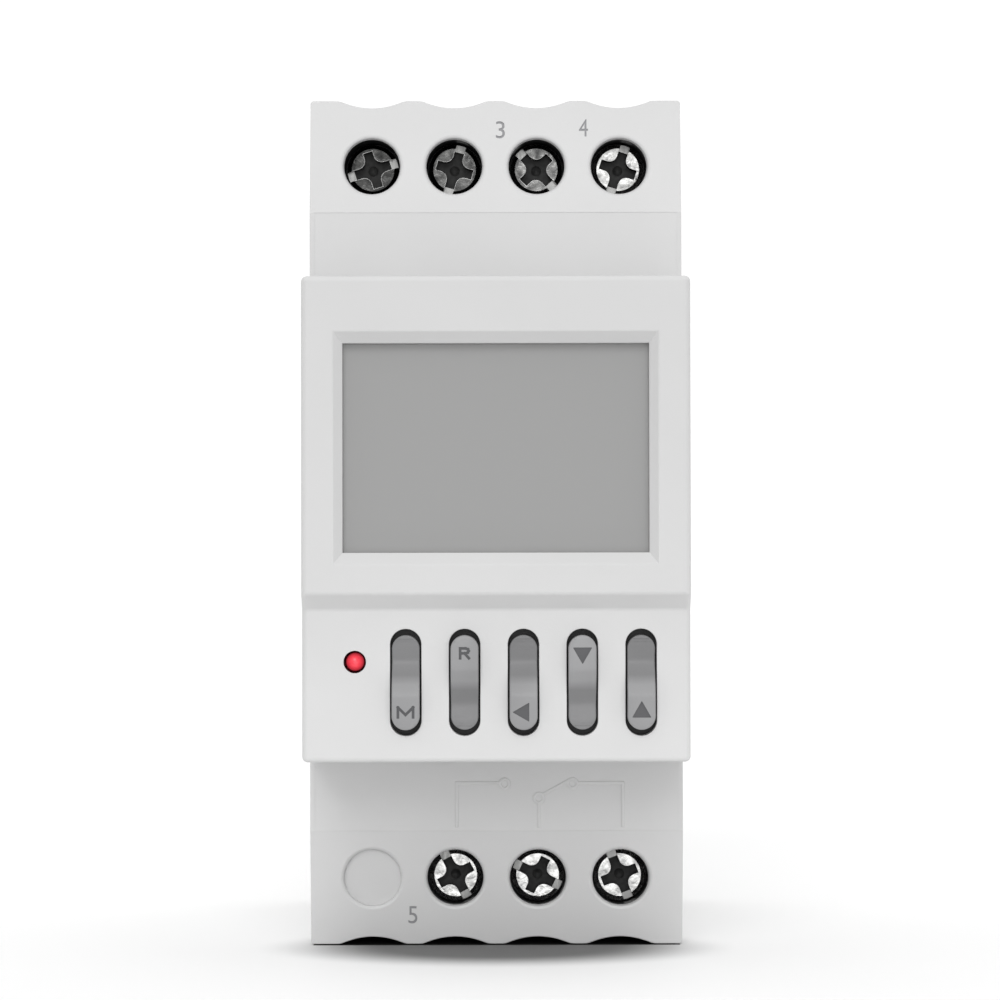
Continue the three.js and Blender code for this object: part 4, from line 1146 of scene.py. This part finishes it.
# ---------------------------------------------------------------------------
# Latch spring: bright drawn wire wound in seven turns, standing on the floor
# of the base's spring box.
# ---------------------------------------------------------------------------
SPRING_PLACE = (0, -0.9)
SPRING_ENDS = (-36.9, -28.7)
COIL = 1.5
WIRE = 0.25
TURNS = 7
bare()
bpy.ops.mesh.primitive_circle_add(
    vertices=14, radius=WIRE * MM, location=(COIL * MM, 0, 0), rotation=(pi / 2, 0, 0)
)
spring = settle(named("wound_spring"))
wind = spring.modifiers.new("wind", "SCREW")
wind.angle = TURNS * tau
wind.screw_offset = (SPRING_ENDS[1] - SPRING_ENDS[0] - 2 * WIRE) * MM
wind.iterations = 1
wind.steps = wind.render_steps = TURNS * 28
bpy.ops.object.modifier_apply(modifier=wind.name)
spring.location = (SPRING_PLACE[0] * MM, SPRING_PLACE[1] * MM, (SPRING_ENDS[0] + WIRE) * MM)
settle(spring)
bpy.ops.object.mode_set(mode="EDIT")
bpy.ops.mesh.select_all(action="SELECT")
bpy.ops.mesh.fill_holes(sides=0)
bpy.ops.mesh.select_all(action="SELECT")
bpy.ops.mesh.normals_make_consistent(inside=False)
bare()
hold(spring)
bpy.ops.object.shade_smooth()
spring.data.materials.append(metal("spring_wire", (0.6, 0.6, 0.61), 0.22))
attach(spring, "housing")
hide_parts("latch_spring")
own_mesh(spring)


# ---------------------------------------------------------------------------
# Terminals inside: nickel-plated cages that rise on the screws, and brass
# strips stamped and bent, to the supply board.
# ---------------------------------------------------------------------------
dress(nodes_named("terminal_cage_"), metal("cage_nickel", (0.56, 0.57, 0.57), 0.3), 0.1)
dress(nodes_named("busbar_"), metal("stamped_brass", (0.62, 0.43, 0.17), 0.28), 0.08)


# ---------------------------------------------------------------------------
# Boards and what stands on them: green boards of glass epoxy, blue relay,
# yellow film capacitor, sleeved capacitor, dipped varistor, black chip and
# header, small switches under the keys, and the frame that holds the display.
# ---------------------------------------------------------------------------
def board_green():
    material, tree, shader, place = own_material("solder_mask")
    track = tree.nodes.new("ShaderNodeTexBrick")
    track.inputs["Scale"].default_value = 320
    track.inputs["Mortar Size"].default_value = 0.06
    track.inputs["Color1"].default_value = (0.02, 0.115, 0.045, 1)
    track.inputs["Color2"].default_value = (0.028, 0.145, 0.06, 1)
    track.inputs["Mortar"].default_value = (0.012, 0.07, 0.03, 1)
    turn = tree.nodes.new("ShaderNodeMapping")
    turn.inputs["Rotation"].default_value = (pi / 2, 0, 0)
    tree.links.new(place, turn.inputs["Vector"])
    tree.links.new(turn.outputs["Vector"], track.inputs["Vector"])
    tree.links.new(track.outputs["Color"], shader.inputs["Base Color"])
    tree.links.new(spread(tree, cloud(tree, place, 0.5), 0.25, 0.38), shader.inputs["Roughness"])
    bumped(tree, shader, track.outputs["Fac"], 0.03)
    return material


def striped_rubber():
    material, tree, shader, place = own_material("striped_elastomer")
    stripe = tree.nodes.new("ShaderNodeTexWave")
    stripe.inputs["Scale"].default_value = 1600
    tree.links.new(place, stripe.inputs["Vector"])
    tinted(tree, shader, stripe.outputs["Fac"], (0.02, 0.02, 0.02), (0.5, 0.16, 0.22))
    shader.inputs["Roughness"].default_value = 0.6
    return material


black_compound = moulded("black_compound", (0.022, 0.022, 0.022), 0.55, grain=0.08)
dress(["display_board", "power_board"], board_green(), 0.05)
dress(nodes_named("contact_strip_"), striped_rubber(), 0.08)
dress(["display_frame"], moulded("frame_white", (0.72, 0.72, 0.69), 0.45), 0.1)
dress(["controller_chip", "cell_holder", "board_link", *nodes_named("switch_body_")], black_compound, 0.06)
dress(nodes_named("switch_stem_"), moulded("stem_ivory", (0.66, 0.6, 0.46), 0.4), 0.06)
dress(["quartz_crystal", "backup_cell"], metal("bright_nickel", (0.6, 0.6, 0.61), 0.22), 0.08)
dress(["relay"], moulded("relay_blue", (0.02, 0.07, 0.24), 0.35), 0.25)
dress(["film_capacitor"], moulded("film_yellow", (0.68, 0.47, 0.06), 0.35), 0.2)
dress(["smoothing_capacitor"], moulded("sleeve_black", (0.025, 0.025, 0.03), 0.25), 0.15)
dress(["varistor"], moulded("varistor_blue", (0.03, 0.13, 0.42), 0.25, grain=0.5, depth=0.03), 0.1)
